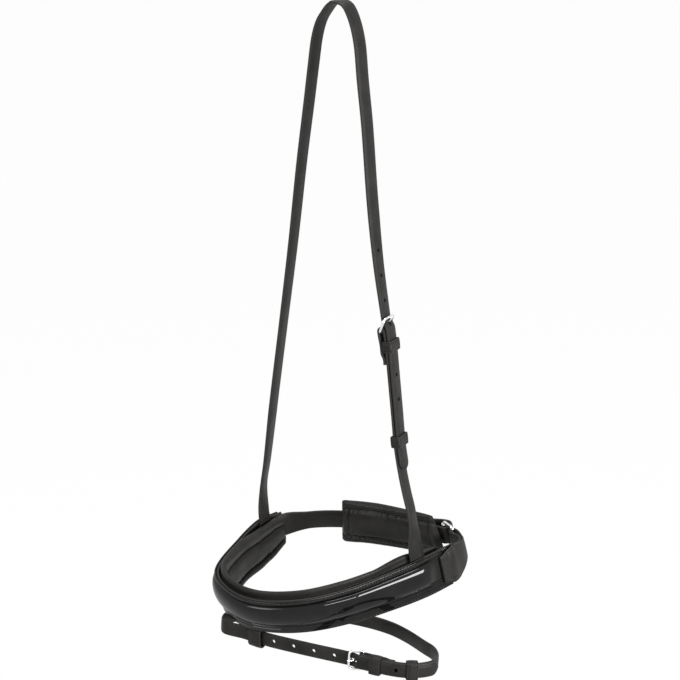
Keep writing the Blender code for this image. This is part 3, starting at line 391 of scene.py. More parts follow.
def noseband_line():
    """The inner face of the noseband's backing, at the middle of its height."""
    shape = np.array(NOSE_SHAPE, float)
    low = shape.min(axis=0)
    high = shape.max(axis=0)
    scale = np.array([NOSE_ACROSS, NOSE_DEEP]) / (high - low)
    across, back, up = tilted(NOSE_PITCH)
    centre = np.array([0.0, NOSE_SETBACK, -SLIP_DROP])
    points = [centre + across * x * scale[0] + back * y * scale[1] + up * CHIN_RISE * ease(y, 60, 105)
              for x, y in shape]
    knots = NOSE_LEAN + [(1.0, NOSE_LEAN[0][1])]

    def width_at(place, length, _point, tangent):
        lean = math.radians(through(knots, place / length))
        outward = unit(np.cross(tangent, up))
        return up * math.cos(lean) + outward * math.sin(lean)

    return Line(smooth(points, True), width_at, 1.0, True)


def leg_points(leg):
    """Points of one leg of the sliphead, given as (x, y, share of its drop)."""
    return [np.array([x * MM, y * MM, SLIP_THICK / 2 - share * SLIP_DROP]) for x, y, share in leg]


def sliphead_line(nose):
    """From the near-side sewn end up over the crown and down to the off-side sewn end."""
    offset = -(POCKET_PLAY + SLIP_THICK / 2)
    top = BAND_HEIGHT / 2
    heights = (top - POCKET_DEPTH, top - POCKET_DEPTH / 2, top, top + 0.009)
    seat_ends = [np.array([x, 0.0, SLIP_THICK / 2]) for x in (SEAT_LENGTH / 2, -SEAT_LENGTH / 2)]
    near_end = [nose.spot(NEAR_ATTACH, offset, h) for h in heights]
    near = smooth(near_end + leg_points(NEAR_LEG) + seat_ends[:1], False)
    off_end = [nose.spot(-OFF_ATTACH, offset, h) for h in reversed(heights)]
    off = smooth(seat_ends[1:] + leg_points(OFF_LEG) + off_end, False)
    count = int(SEAT_LENGTH / FINE)
    seat = [near[-1] + (off[0] - near[-1]) * i / count for i in range(1, count)]
    near_sewn = nose.frame(NEAR_ATTACH)[1]
    off_sewn = -nose.frame(-OFF_ATTACH)[1]

    def width_at(_place, _length, point, _tangent):
        share = -point[2] / SLIP_DROP
        is_near = point[0] > 0
        turn = math.radians(through(NEAR_TURN if is_near else OFF_TURN, share))
        free = np.array([math.sin(turn), math.cos(turn), 0.0])
        sewn = near_sewn if is_near else off_sewn
        blend = ease(share, BLEND_FROM, NEAR_BLEND_TO if is_near else OFF_BLEND_TO)
        if abs(point[0]) <= SEAT_LENGTH / 2 + FINE:
            return np.array([0.0, 1.0, 0.0])
        return unit(free * (1 - blend) + sewn * blend)

    return Line(np.vstack([near, np.array(seat), off]), width_at, -1.0)


def flash_line(nose):
    """The middle of the flash strap, from its loop round by the near side."""
    point, _, normal, up = nose.frame(LOOP_AT)
    middle = point - up * (BAND_HEIGHT / 2 + LOOP_DIP) - normal * (1.5 * GAP + LOOP_BOW + LOOP_THICK)
    middle = middle + np.array([0.0, 0.0, -LOOP_FALL])
    across, back, rising = tilted(FLASH_TILT)
    points = [middle + across * x * MM + back * y * MM for x, y in FLASH_SHAPE]
    return Line(smooth(points, True), lambda *_: rising, 1.0, True)


NOSE = noseband_line()
SLIP = sliphead_line(NOSE)
FLASH = flash_line(NOSE)


def link(piece):
    bpy.context.scene.collection.objects.link(piece)
    return piece


def skin(name, rings, finish, around=False, inward=None):
    """A closed shell over rings of points, with a UV map of length along and distance from an edge."""
    count = len(rings[0])
    points = np.array(rings).reshape(-1, 3)
    middles = np.array([np.mean(ring, axis=0) for ring in rings])
    along = [0.0, *np.cumsum(np.linalg.norm(np.diff(middles, axis=0), axis=1))]
    step = along[-1] - along[-2]
    faces = []
    coords = []
    last = len(rings) if around else len(rings) - 1
    for r in range(last):
        s = (r + 1) % len(rings)
        here, there = along[r], along[r + 1] if r + 1 < len(rings) else along[r] + step
        for i in range(count):
            j = (i + 1) % count
            faces.append((r * count + i, r * count + j, s * count + j, s * count + i))
            if inward is None:
                low, high = i / count, (i + 1) / count
            else:
                low, high = inward[r][i], inward[r][j]
            coords += [(here, low), (here, high),
                       (there, high if inward is None else inward[s][j]),
                       (there, low if inward is None else inward[s][i])]
    if not around:
        for r, order in ((0, range(count)), (len(rings) - 1, reversed(range(count)))):
            faces.append(tuple(r * count + i for i in order))
            coords += [(along[r], 0.0)] * count
    mesh = bpy.data.meshes.new(name)
    mesh.from_pydata([tuple(p) for p in points], [], faces)
    layer = mesh.uv_layers.new(name="strip")
    layer.data.foreach_set("uv", np.array(coords, np.float32).ravel())
    turned = bmesh.new()
    turned.from_mesh(mesh)
    bmesh.ops.recalc_face_normals(turned, faces=turned.faces)
    turned.to_mesh(mesh)
    turned.free()
    mesh.shade_smooth()
    if finish:
        mesh.materials.append(finish)
    return link(bpy.data.objects.new(name, mesh))


def settle(piece, angle=38.0):
    """Applies a piece's modifiers, and keeps its hard edges sharp."""
    if piece.modifiers:
        graph = bpy.context.evaluated_depsgraph_get()
        mesh = bpy.data.meshes.new_from_object(piece.evaluated_get(graph))
        piece.modifiers.clear()
        old = piece.data
        piece.data = mesh
        bpy.data.meshes.remove(old)
    piece.data.shade_smooth()
    piece.data.set_sharp_from_angle(angle=math.radians(angle))
    return piece


def cut(piece, *cutters):
    """Takes cutters out of a piece, and throws them away."""
    for cutter in cutters:
        made = piece.modifiers.new(cutter.name, 'BOOLEAN')
        made.operation = 'DIFFERENCE'
        made.solver = 'EXACT'
        made.object = cutter
    settle(piece)
    for cutter in cutters:
        mesh = cutter.data
        bpy.data.objects.remove(cutter)
        bpy.data.meshes.remove(mesh)


def strap_section(half, thick, sizes, creased=True):
    """Height, face and distance from the nearest edge of each point round a strap."""
    t = thick / 2
    round_in = min(0.8 * t, half * 0.5)
    inset = min(sizes.crease_in, half * 0.5)
    mark = min(0.00028, inset * 0.3)
    line = half - inset
    deep = sizes.crease_deep if creased else 0.0
    top = [(-(half - round_in), 0.0), (-(line + mark), 0.0), (-line, deep), (-(line - mark), 0.0),
           (-line * 0.45, 0.0), (0.0, 0.0)]
    top = top + [(-h, d) for h, d in top[-2::-1]]
    shape = [(h, t - d - sizes.crown * (h / half) ** 2) for h, d in top]
    edge = shape[-1][1]
    flat = half - round_in

    def rounding(side):
        angles = [side * TAU / 4 - TAU / 2 * k / 4 for k in range(1, 4)]
        return [(side * flat + round_in * math.cos(a), math.sin(a) * (edge if math.sin(a) > 0 else t))
                for a in angles]

    shape += rounding(1) + [(flat, -t), (0.0, -t), (-flat, -t)] + rounding(-1)
    return [(h, f, max(0.0, half - abs(h))) for h, f in shape]


def strap(context, name, middles, widths, thick, edges, around=False, creased=True, flip=False):
    """A strap of even thickness with rounded, creased edges; edges are (low, high) at each point."""
    rings = []
    inward = []
    last = len(middles) - 1
    for i, middle in enumerate(middles):
        if around:
            travel = unit(middles[(i + 1) % (last + 1)] - middles[i - 1])
        else:
            travel = unit(middles[min(i + 1, last)] - middles[max(i - 1, 0)])
        face = unit(np.cross(travel, widths[i])) * (-1 if flip else 1)
        low, high = edges[i]
        centre = middle + widths[i] * (low + high) / 2
        shape = strap_section((high - low) / 2, thick, context.scene.bridle_sizes, creased)
        rings.append([centre + widths[i] * h + face * f for h, f, _ in shape])
        inward.append([d for _, _, d in shape])
    return skin(name, rings, finish_for(context, "strap_leather"), around, inward)


def grain_out(line, course, at):
    """Whether a strap's face has to be turned for its grain to lie outwards at a point of its course."""
    here = at if at >= 0 else len(course) + at
    a = line.spot(*course[max(here - 1, 0)])
    b = line.spot(*course[min(here + 1, len(course) - 1)])
    _, _, normal, width = line.frame(course[here][0])
    return bool(np.dot(np.cross(b - a, width), normal) < 0)


def run_strap(context, name, line, course, thick, halves, creased=True, lift=0.0, grain_at=-1):
    """A strap along (place, offset) points of a line, lifted across it."""
    if isinstance(halves, float):
        halves = [halves] * len(course)
    middles = [line.spot(s, o, lift) for s, o in course]
    widths = [line.frame(s)[3] for s, _ in course]
    return strap(context, name, middles, widths, thick, [(-h, h) for h in halves],
                 creased=creased, flip=grain_out(line, course, grain_at))


def tube(name, path, radii, sides, around, closed, finish):
    """A round bar along points, whose ends are rounded off."""
    if isinstance(radii, float):
        radii = [radii] * len(path)
    rings = []
    last = len(path) - 1
    for i, point in enumerate(path):
        before = path[i - 1] if (closed or i > 0) else path[i]
        after = path[(i + 1) % len(path)] if (closed or i < last) else path[i]
        along = unit(after - before)
        first = unit(around - along * np.dot(around, along))
        second = np.cross(along, first)
        rings.append([point + (first * math.cos(TAU * k / sides)
                               + second * math.sin(TAU * k / sides)) * radii[i]
                      for k in range(sides)])
    return skin(name, rings, finish, closed)


def rounded(half_long, half_wide, corner, steps):
    """A rounded rectangle as 2-D points, counter-clockwise."""
    corner = min(corner, half_long * 0.999, half_wide * 0.999)
    out = []
    for quarter in range(4):
        sign_x = 1 if quarter in (0, 3) else -1
        sign_y = 1 if quarter in (0, 1) else -1
        for k in range(steps + 1):
            angle = TAU * (quarter + k / steps) / 4
            out.append((sign_x * (half_long - corner) + corner * math.cos(angle),
                        sign_y * (half_wide - corner) + corner * math.sin(angle)))
    return out


def evened(shape, step):
    """A closed 2-D outline with points added along its long sides."""
    out = []
    for a, b in zip(shape, shape[1:] + shape[:1]):
        length = math.dist(a, b)
        count = max(1, round(length / step))
        out += [(a[0] + (b[0] - a[0]) * k / count, a[1] + (b[1] - a[1]) * k / count)
                for k in range(count)]
    return out


def punch(line, name, place, offset, depth, length):
    """A cutter for a round or stretched hole, square to a strap's face."""
    point, along, normal, up = line.frame(place)
    centre = point + normal * offset
    shape = rounded(length / 2, HOLE_SIZE / 2, HOLE_SIZE / 2, 6)
    rings = [[centre + normal * d + along * a + up * b for a, b in shape] for d in (-depth, depth)]
    return skin(name, rings, None)


def bend(at, offset, radius, steps, turn=TAU / 2):
    """Points inside a strap's turn round a bar, from below the bar; turn is the whole angle."""
    out = []
    for k in range(1, steps):
        angle = -TAU / 4 + turn * k / steps
        out.append((at + radius * math.cos(angle), offset + radius * math.sin(angle)))
    return out


def rise(sigma):
    """How far the layers behind a hinge bar are spread by it: 0 well behind it, 1 at it."""
    return ease(sigma, RISE_FROM, RISE_TO)


def square_reach(start, end, width):
    """Unit vector and distance from one bar to another, square to the width direction."""
    reach = end - start
    reach = reach - width * np.dot(reach, width)
    return unit(reach), np.linalg.norm(reach)


def wire_loop(name, axes, shape, wire, sides, finish):
    """A closed loop of round wire; axes are its first bar, its direction, its reach and its width."""
    bar, along, reach, width = axes
    path = [bar + along * reach / 2 + along * a + width * b for a, b in evened(shape, 0.003)]
    return tube(name, path, wire, sides, np.cross(along, width), True, finish)


class Buckle:
    """Where a buckle sits on a line, and the courses of the straps that it joins."""

    def __init__(self, line, at, ahead, fold_thick, strap_thick, width, fold_offset,
                 strap_offset, fold_dips, keeper_at, fold_end=None, beyond=0.0):
        self.line = line
        self.at = at
        self.ahead = ahead
        self.fold_thick = fold_thick
        self.strap_thick = strap_thick
        self.width = width
        self.wire = BUCKLE_WIRE / 2
        self.turn = self.wire + FOLD_PLAY + fold_thick / 2
        self.keeper_at = keeper_at
        layers = fold_thick + GAP
        self.lower_far = fold_offset - layers
        if fold_dips:
            self.upper_near = self.upper_far = fold_offset
            self.lower_near = fold_offset - 2 * self.turn
            self.lower_mid = self.lower_far - SIDE_PLAY - KEEPER_THICK
        else:
            self.lower_near = self.lower_mid = self.lower_far
            self.upper_near = self.lower_near + 2 * self.turn
            self.upper_far = fold_offset
        self.bar = self.upper_near - self.turn
        self.strap_offset = strap_offset
        seat = (fold_thick + strap_thick) / 2 + GAP
        self.over_near = self.upper_near + seat
        self.over_far = self.upper_far + seat
        self.front = strap_offset + strap_thick / 2 + 2 * GAP + self.wire
        self.fold_end = fold_end
        self.beyond = beyond

    def place(self, sigma):
        return self.at + self.ahead * sigma

    def sigma(self, place):
        return (place - self.at) * self.ahead

    def upper(self, sigma):
        return self.upper_far + (self.upper_near - self.upper_far) * rise(sigma)

    def lower(self, sigma):
        behind = self.keeper_at + KEEPER_WIDTH / 2
        close = ease(-sigma, behind + KEEPER_CLEAR, behind + KEEPER_BLEND)
        middle = self.lower_mid + (self.lower_far - self.lower_mid) * close
        return middle + (self.lower_near - self.lower_mid) * rise(sigma)

    def over(self, sigma):
        climb = 1 - ease(sigma, CLIMB_FROM, BUCKLE_REACH)
        top = self.over_far + (self.over_near - self.over_far) * rise(sigma)
        if self.fold_end is not None:
            drop = ease(-sigma, self.fold_end + FOLD_END_CLEAR, self.fold_end + FOLD_END_BLEND)
            top = top + (self.beyond - top) * drop
        return self.strap_offset + (top - self.strap_offset) * climb

    def return_end(self):
        return -self.keeper_at - KEEPER_WIDTH / 2 - FOLD_RETURN

    def fold_course(self, upper_end):
        """From the end of the return under the bar, round it and out along the upper layer."""
        course = [(s, self.lower(s)) for s in spread(self.return_end(), -BEND_GAP, BEND_STEP)]
        course += bend(0.0, self.bar, self.turn, 14)
        out = spread(-BEND_GAP, -FOLD_ZONE, BEND_STEP) + spread(-FOLD_ZONE, upper_end, STRAP_STEP)[1:]
        course += [(s, self.upper(s)) for s in out]
        return [(self.place(sigma), offset) for sigma, offset in course]

    def over_course(self, start, tip):
        """From ahead of the front bar, over the fold to the rounded tip."""
        course = spread(start, BUCKLE_ZONE, STRAP_STEP) + spread(BUCKLE_ZONE, -BUCKLE_ZONE, OVER_STEP)[1:]
        course += spread(-BUCKLE_ZONE, -tip + TIP_ROUND, STRAP_STEP)[1:]
        course += [-tip + TIP_ROUND * (1 - math.sin(TAU / 4 * k / 9)) for k in range(1, 10)]
        return [(self.place(sigma), self.over(sigma)) for sigma in course]

    def axes(self):
        """Hinge bar, unit vector to the front bar, distance to it, and width direction."""
        bar = self.line.spot(self.at, self.bar)
        front = self.line.spot(self.place(BUCKLE_REACH), self.front)
        width = self.line.frame(self.at)[3]
        return bar, *square_reach(bar, front, width), width

    def frame_piece(self, name, finish):
        """The buckle's frame, bent from one wire."""
        axes = self.axes()
        reach = axes[2]
        half_wide = self.width / 2 + BUCKLE_SIDE + self.wire
        tight = rounded(reach / 2, half_wide, BUCKLE_SIDE + self.wire, 8)
        wide = rounded(reach / 2, half_wide, 0.0035, 8)
        shape = [w if w[0] > 0 else t for t, w in zip(tight, wide)]
        return wire_loop(name, axes, shape, self.wire, 18, finish)

    def tongue_piece(self, name, finish):
        """A tapered prong hooked round the hinge bar, with its tip on the front bar."""
        bar, along, reach, width = self.axes()
        lift = np.cross(width, along)
        if np.dot(lift, self.line.frame(self.at)[2]) < 0:
            lift = -lift
        radius = TONGUE_WIRE / 2
        curl = self.wire + FOLD_PLAY + radius
        tip_lift = self.wire + GAP + radius
        leave = math.atan2(tip_lift, reach) + math.asin(curl / math.hypot(reach, tip_lift))
        path = []
        for k in range(19):
            angle = leave - TAU / 4 - math.radians(225) * (1 - k / 18)
            path.append(bar + (along * math.cos(angle) + lift * math.sin(angle)) * curl)
        tip = bar + along * reach + lift * tip_lift
        root = path[-1]
        path += [root + (tip - root) * t for t in (0.15, 0.35, 0.55, 0.75, 0.9, 1.0)]
        ends = [0.0008, 0.0014, 0.0018, 0.0021, 0.0022]
        path += [tip + along * e - lift * 0.0003 * e / 0.0022 for e in ends]
        taper = (0.98, 0.95, 0.90, 0.86, 0.82, 0.76, 0.62, 0.40, 0.18)
        radii = [radius * 0.55] + [radius] * 20 + [radius * f for f in taper]
        return tube(name, path, radii, 14, width, False, finish)

    def hole_cutters(self, name, pitch, holes, draw=0.0):
        """Cutters for the billet's row of holes, of which the tongue has drawn out the one in use."""
        in_use = self.place(TONGUE_THROUGH)
        out = []
        for k in range(holes[0], holes[1] + 1):
            place = in_use - draw + self.ahead * pitch * k if k else in_use
            length = HOLE_SIZE if k else HOLE_IN_USE
            out.append(punch(self.line, name, place, self.over(self.sigma(place)), self.strap_thick, length))
        return out

    def slot_cutter(self, name):
        """Opens the fold where the tongue hooks round the bar."""
        half = TONGUE_WIRE / 2 + 0.0006
        depth = self.lower_near - self.fold_thick / 2 - 0.002
        top = self.upper_near + self.fold_thick / 2 + GAP / 2
        profile = [(-SLOT_BACK, depth), (-SLOT_BACK, top), (0.0012, top),
                   (SLOT_FRONT, self.bar + 0.001), (SLOT_FRONT, depth)]
        return skin(name, [[self.line.spot(self.place(sigma), offset, side) for sigma, offset in profile]
                           for side in (-half, half)], None)

    def keeper_piece(self, context, name, sigma, layers):
        """A leather loop round the straps; layers are the lowest and highest offsets in it."""
        point, along, normal, width = self.line.frame(self.place(-sigma))
        ends = [self.line.spot(self.place(-sigma + end)) for end in (-KEEPER_WIDTH / 2, KEEPER_WIDTH / 2)]
        sags = [np.dot(end - point, normal) for end in ends]
        low = layers[0] + min(0.0, *sags)
        high = layers[1] + max(0.0, *sags)
        centre = point + normal * (low + high) / 2
        half = KEEPER_THICK / 2
        shape = rounded((high - low) / 2 + SIDE_PLAY + half, self.width / 2 + SIDE_PLAY + half, 0.0015, 6)
        shape = evened(shape, 0.0018)
        middles = [centre + normal * a + width * b for a, b in shape]
        edges = [(-KEEPER_WIDTH / 2, KEEPER_WIDTH / 2)] * len(middles)
        turned = np.dot(np.cross(middles[1] - middles[0], along), middles[0] - centre) < 0
        return settle(strap(context, name, middles, [along] * len(middles), KEEPER_THICK, edges,
                            around=True, flip=bool(turned)))

    def stack(self, sigma):
        """Lowest and highest faces of the layers inside a keeper at a distance behind the bar."""
        spots = (sigma - KEEPER_WIDTH / 2, sigma, sigma + KEEPER_WIDTH / 2)
        low = min(self.upper(-behind) for behind in spots) - self.fold_thick / 2
        high = max(self.over(-behind) for behind in spots) + self.strap_thick / 2
        return low, high


def tip_widths(course, half, length):
    """Half widths of a strap whose end is rounded over its last stretch."""
    end = course[-1][0]
    out = [half] * len(course)
    for i in range(len(course) - 1, -1, -1):
        left = abs(end - course[i][0])
        if left >= length:
            break
        out[i] = half * max(0.25, math.sqrt(1 - (1 - left / length) ** 2))
    return out


def end_shrink(place, half, length):
    """1 along the middle of a pad, falling in a quarter round to 0 at its ends."""
    left = half - abs(place)
    if left >= length:
        return 1.0
    return math.sqrt(max(0.0, 1 - (1 - left / length) ** 2))


def band_half(place):
    """Half height of the noseband, which narrows at its off-side end."""
    return BAND_HEIGHT / 2 - OFF_NARROWS * ease(-place, HALF_BAND - 0.035, HALF_BAND)


CHEEK = Buckle(SLIP, CHEEK_LENGTH, 1, SLIP_THICK, SLIP_THICK, SLIP_WIDTH, 0.0, 0.0, True,
               CHEEK_KEEPER_AT)
FLASH_BUCKLE = Buckle(FLASH, FLASH_BUCKLE_AT, -1, FLASH_THICK, FLASH_THICK, FLASH_WIDTH,
                      0.0, 0.0, True, FLASH_KEEPER_AT)
ROLLER_OFFSET = -CHIN_STRAP_LOW + ROLLER_SLACK + ROLLER_OUTER / 2
ROLLER_AT = RING_BAR_AT + math.sqrt(RING_REACH ** 2 - ROLLER_OFFSET ** 2)


def chin_buckle():
    """The buckle under the chin, on the strap that has turned back round the roller."""
    chape_far = CHIN_STRAP_LOW + GAP + CHAPE_THICK * 1.5 + GAP
    chape_top = CHIN_STRAP_LOW + GAP + 2 * CHAPE_THICK + 2 * FOLD_PLAY + BUCKLE_WIRE
    seat = CHIN_STRAP_LOW + GAP + CHIN_THICK / 2
    strap_offset = (seat + chape_top) / 2 + 0.0006
    return Buckle(NOSE, ROLLER_AT + CHIN_BUCKLE_AT, -1, CHAPE_THICK, CHIN_THICK, CHIN_WIDTH,
                  chape_far, strap_offset, False, CHIN_KEEPER_AT, CHAPE_LENGTH, seat)


CHIN = chin_buckle()
CHIN_INNER = CHIN_STRAP_LOW - CHIN_THICK / 2


def feed(tree, socket, value):
    """Links another node's output to a socket, or sets the socket's own value."""
    if hasattr(value, "is_output"):
        tree.links.new(value, socket)
    else:
        socket.default_value = value


def node(tree, kind, inputs=None, **settings):
    """Adds a node with its settings and inputs, and gives its outputs."""
    made = tree.nodes.new(kind)
    for name, value in settings.items():
        setattr(made, name, value)
    for name, value in (inputs or {}).items():
        feed(tree, made.inputs[name], value)
    return made.outputs


class Finish:
    """A node material under construction, on the object's own coordinates."""

    def __init__(self, name):
        self.made = bpy.data.materials.new(name)
        self.made.use_nodes = True
        self.tree = self.made.node_tree
        self.shader = self.tree.nodes["Principled BSDF"]
        self.coords = node(self.tree, "ShaderNodeTexCoord")

    def noise(self, scale, detail=2.0, rough=0.5):
        given = {"Scale": scale, "Detail": detail, "Roughness": rough, "Vector": self.coords["Object"]}
        return node(self.tree, "ShaderNodeTexNoise", given)["Fac"]

    def pores(self, scale, feature='DISTANCE_TO_EDGE'):
        given = {"Scale": scale, "Vector": self.coords["Object"]}
        return node(self.tree, "ShaderNodeTexVoronoi", given, feature=feature)["Distance"]

    def ranged(self, value, low, high, to_low, to_high):
        given = {"Value": value, "From Min": low, "From Max": high, "To Min": to_low, "To Max": to_high}
        return node(self.tree, "ShaderNodeMapRange", given)["Result"]

    def sum(self, a, b, kind='ADD'):
        return node(self.tree, "ShaderNodeMath", {0: a, 1: b}, operation=kind)["Value"]

    def blend(self, share, first, second):
        made = self.tree.nodes.new("ShaderNodeMix")
        made.data_type = 'RGBA'
        feed(self.tree, made.inputs["Factor"], share)
        colours = [s for s in made.inputs if s.type == 'RGBA']
        for socket, value in zip(colours, (first, second)):
            feed(self.tree, socket, value)
        return [s for s in made.outputs if s.type == 'RGBA'][0]

    def mottled(self, cloud, low, high, colour, dark, light):
        """A colour that drifts from a darker to a lighter tint as the cloud goes from low to high."""
        return self.blend(self.ranged(cloud, low, high, 0.0, 1.0), tint(colour, dark), tint(colour, light))

    def edge(self):
        """Distance from the strap's nearest edge, in metres, from its UV map."""
        return node(self.tree, "ShaderNodeSeparateXYZ", {"Vector": self.coords["UV"]})["Y"]

    def bump(self, height, strength, distance):
        given = {"Strength": strength, "Distance": distance, "Height": height}
        feed(self.tree, self.shader.inputs["Normal"], node(self.tree, "ShaderNodeBump", given)["Normal"])

    def set(self, **sockets):
        for name, value in sockets.items():
            feed(self.tree, self.shader.inputs[name.replace("_", " ")], value)
        return self.made


def tint(colour, factor):
    return tuple(min(1.0, c * factor) for c in colour) + (1.0,)


def strap_leather(made, look):
    """Dyed bridle leather: fine pores, a waxed bloom, and dyed and burnished cut edges."""
    cloudy = made.noise(38.0, 3.0, 0.55)
    fine = made.noise(1500.0, 3.0, 0.6)
    bloom = made.mottled(cloudy, 0.35, 0.68, look.strap, 0.72, 1.35)
    near = made.ranged(made.edge(), 0.0002, 0.0011, 1.0, 0.0)
    shown = made.blend(near, bloom, tint(look.edge, 1.0))
    grain = made.ranged(made.pores(1150.0), 0.0, 0.16, 0.0, 1.0)
    made.bump(made.sum(grain, made.sum(fine, 0.6, 'MULTIPLY')), 0.30, 0.00012)
    rough = made.ranged(fine, 0.3, 0.7, 0.40, 0.54)
    return made.set(Base_Color=shown, Roughness=rough, Specular_IOR_Level=0.14)


def patent_leather(made, look):
    """Lacquered leather: a hard clear gloss over black, with a faint pull in the surface."""
    shown = made.mottled(made.noise(55.0), 0.35, 0.65, look.patent, 0.8, 1.5)
    made.bump(made.noise(60.0, 1.0, 0.4), 0.12, 0.0010)
    rough = made.ranged(made.noise(300.0), 0.3, 0.7, 0.30, 0.38)
    return made.set(Base_Color=shown, Roughness=rough, Coat_Weight=0.46, Coat_Roughness=0.02,
                    Specular_IOR_Level=0.02)


def lining_leather(made, look):
    """Soft glove leather: round pebbles, small creases, and little shine."""
    shown = made.mottled(made.noise(42.0, 3.0, 0.6), 0.32, 0.70, look.lining, 0.7, 1.4)
    pebble = made.ranged(made.pores(780.0, 'SMOOTH_F1'), 0.0, 0.6, 1.0, 0.0)
    wrinkle = made.noise(170.0, 4.0, 0.62)
    height = made.sum(made.sum(pebble, 0.35, 'MULTIPLY'), made.sum(wrinkle, 1.2, 'MULTIPLY'))
    made.bump(height, 0.42, 0.0005)
    rough = made.ranged(wrinkle, 0.3, 0.7, 0.36, 0.50)
    return made.set(Base_Color=shown, Roughness=rough, Specular_IOR_Level=0.12)


def plated_steel(made, look):
    """Polished plating with hairlines and a little handling haze."""
    haze = made.noise(260.0, 3.0, 0.6)
    shown = made.mottled(haze, 0.35, 0.7, look.hardware, 1.0, 0.86)
    made.bump(made.noise(1400.0), 0.06, 0.00005)
    rough = made.ranged(haze, 0.3, 0.75, 0.09, 0.22)
    return made.set(Base_Color=shown, Roughness=rough, Metallic=1.0)


def waxed_thread(made, look):
    """Twisted waxed thread."""
    twist = made.noise(2600.0, 1.0, 0.5)
    shown = made.mottled(twist, 0.35, 0.65, look.thread, 0.6, 1.4)
    made.bump(twist, 0.4, 0.0001)
    rough = made.ranged(twist, 0.3, 0.7, 0.45, 0.6)
    return made.set(Base_Color=shown, Roughness=rough, Specular_IOR_Level=0.3)


def cord_filler(made, _look):
    """Undyed cord that fills the raised swell."""
    fibre = made.noise(1200.0, 4.0, 0.7)
    share = made.ranged(fibre, 0.3, 0.7, 0.0, 1.0)
    shown = made.blend(share, (0.20, 0.17, 0.13, 1.0), (0.38, 0.34, 0.27, 1.0))
    made.bump(fibre, 0.5, 0.0003)
    rough = made.ranged(fibre, 0.3, 0.7, 0.85, 0.98)
    return made.set(Base_Color=shown, Roughness=rough)


MAKERS = {"strap_leather": strap_leather, "patent_leather": patent_leather,
          "lining_leather": lining_leather, "hardware": plated_steel,
          "thread": waxed_thread, "swell_filler": cord_filler}
MADE = {}


def finish_for(context, slot):
    """The material of a slot, made when it is first asked for."""
    if slot not in MADE:
        maker = MAKERS[slot]
        MADE[slot] = maker(Finish(maker.__name__), context.scene.bridle_finish)
    return MADE[slot]


def set_on(piece, body, slot, *nodes):
    """Hangs a piece on a body, in place of its CAD nodes."""
    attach(piece, body)
    if nodes:
        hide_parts(*nodes)


def add_keepers(context, buckle, name, body, places, low=None):
    """A buckle's fixed and sliding keepers; low is the lowest face in them if it isn't the fold's."""
    kinds = (("_keeper", body, "_fixed_keeper"), ("_slider", name + "_runner", "_sliding_keeper"))
    for at, (ending, rides, node_ending) in zip(places, kinds):
        under, over = buckle.stack(at)
        keeper = buckle.keeper_piece(context, name + ending, at, (under if low is None else low, over))
        set_on(keeper, rides, "strap_leather", name + node_ending)


def build_sliphead(context):
    """The long strap over the poll, the cheek strap and their two keepers."""
    half = SLIP_WIDTH / 2
    cheek = run_strap(context, "cheek_fold", SLIP, CHEEK.fold_course(-CHEEK_LENGTH), SLIP_THICK, half)
    cut(cheek, CHEEK.slot_cutter("cheek_slot"))
    set_on(cheek, "headstrap", "strap_leather", "cheek_strap")

    places = spread(SLIP.length, CHEEK.place(OVER_START), 0.003)
    course = [(place, 0.0) for place in places[:-1]] + CHEEK.over_course(OVER_START, CHEEK_BILLET)
    piece = run_strap(context, "sliphead", SLIP, course, SLIP_THICK, tip_widths(course, half, TIP_LENGTH))
    cut(piece, *CHEEK.hole_cutters("cheek_hole", CHEEK_PITCH, CHEEK_HOLES, CHEEK_DRAW))
    set_on(piece, "headstrap", "strap_leather", "sliphead_strap")
    add_keepers(context, CHEEK, "cheek", "headstrap", (CHEEK_KEEPER_AT, CHEEK_RUNNER_AT))


PANEL_END = RING_STRAP_START + 0.010
SWELL_MIDDLE = (SWELL_TOP + SWELL_BOTTOM) / 2
SWELL_HALF = (SWELL_TOP - SWELL_BOTTOM) / 2
# Face of the panel above and below its swell: height and depth in millimetres
UPPER_FLANGE = [(20.0, -0.75), (19.95, -0.15), (19.75, 0.12), (19.55, 0.21), (19.45, 0.232), (19.0, 0.328),
                (18.9, 0.34), (18.7, 0.20), (18.45, -0.12), (18.1, -0.32), (17.5, -0.36), (16.9, -0.30),
                (16.2, -0.24), (15.4, -0.30), (14.9, -0.50)]
LOWER_FLANGE = [(-8.35, -0.45), (-8.6, -0.06), (-8.8, 0.0), (-10.9, 0.0), (-11.2, 0.40), (-11.24, 0.0),
                (-14.2, 0.0), (-14.5, 0.40), (-14.54, 0.0), (-16.3, 0.0), (-17.84, -0.02), (-17.94, -0.24),
                (-18.26, -0.24), (-18.36, -0.02), (-19.3, 0.0), (-19.65, -0.08), (-19.9, -0.32),
                (-20.0, -0.75)]
# Heights of the panel's two rows of stitches, in millimetres
STITCHED_AT = (17.8, -18.1)


def swell_share(place):
    return 1 - ease(abs(place), PANEL_END - 0.030, PANEL_END - 0.014)


def swell_arch(place, base, half, height, steps):
    share = band_half(place) / (BAND_HEIGHT / 2)
    out = []
    for k in range(steps + 1):
        angle = TAU / 2 * k / steps
        out.append((base + height * swell_share(place) * math.sin(angle) ** 0.8,
                    (SWELL_MIDDLE + half * math.cos(angle)) * share))
    return out


def panel_section(place):
    """Offset and height round the patent panel."""
    face = BACKING_THICK + GAP
    outer = face + PATENT_THICK
    share = band_half(place) / (BAND_HEIGHT / 2)
    upper = [(outer + d * MM, h * MM * share) for h, d in UPPER_FLANGE]
    lower = [(outer + d * MM, h * MM * share) for h, d in LOWER_FLANGE]
    top = swell_arch(place, outer, SWELL_HALF, SWELL_RISE, 22)[1:-1]
    under = swell_arch(place, face, SWELL_HALF - 0.0010, SWELL_RISE, 12)
    edge = band_half(place)
    return upper + top + lower + [(face, -edge)] + under[::-1] + [(face, edge)]


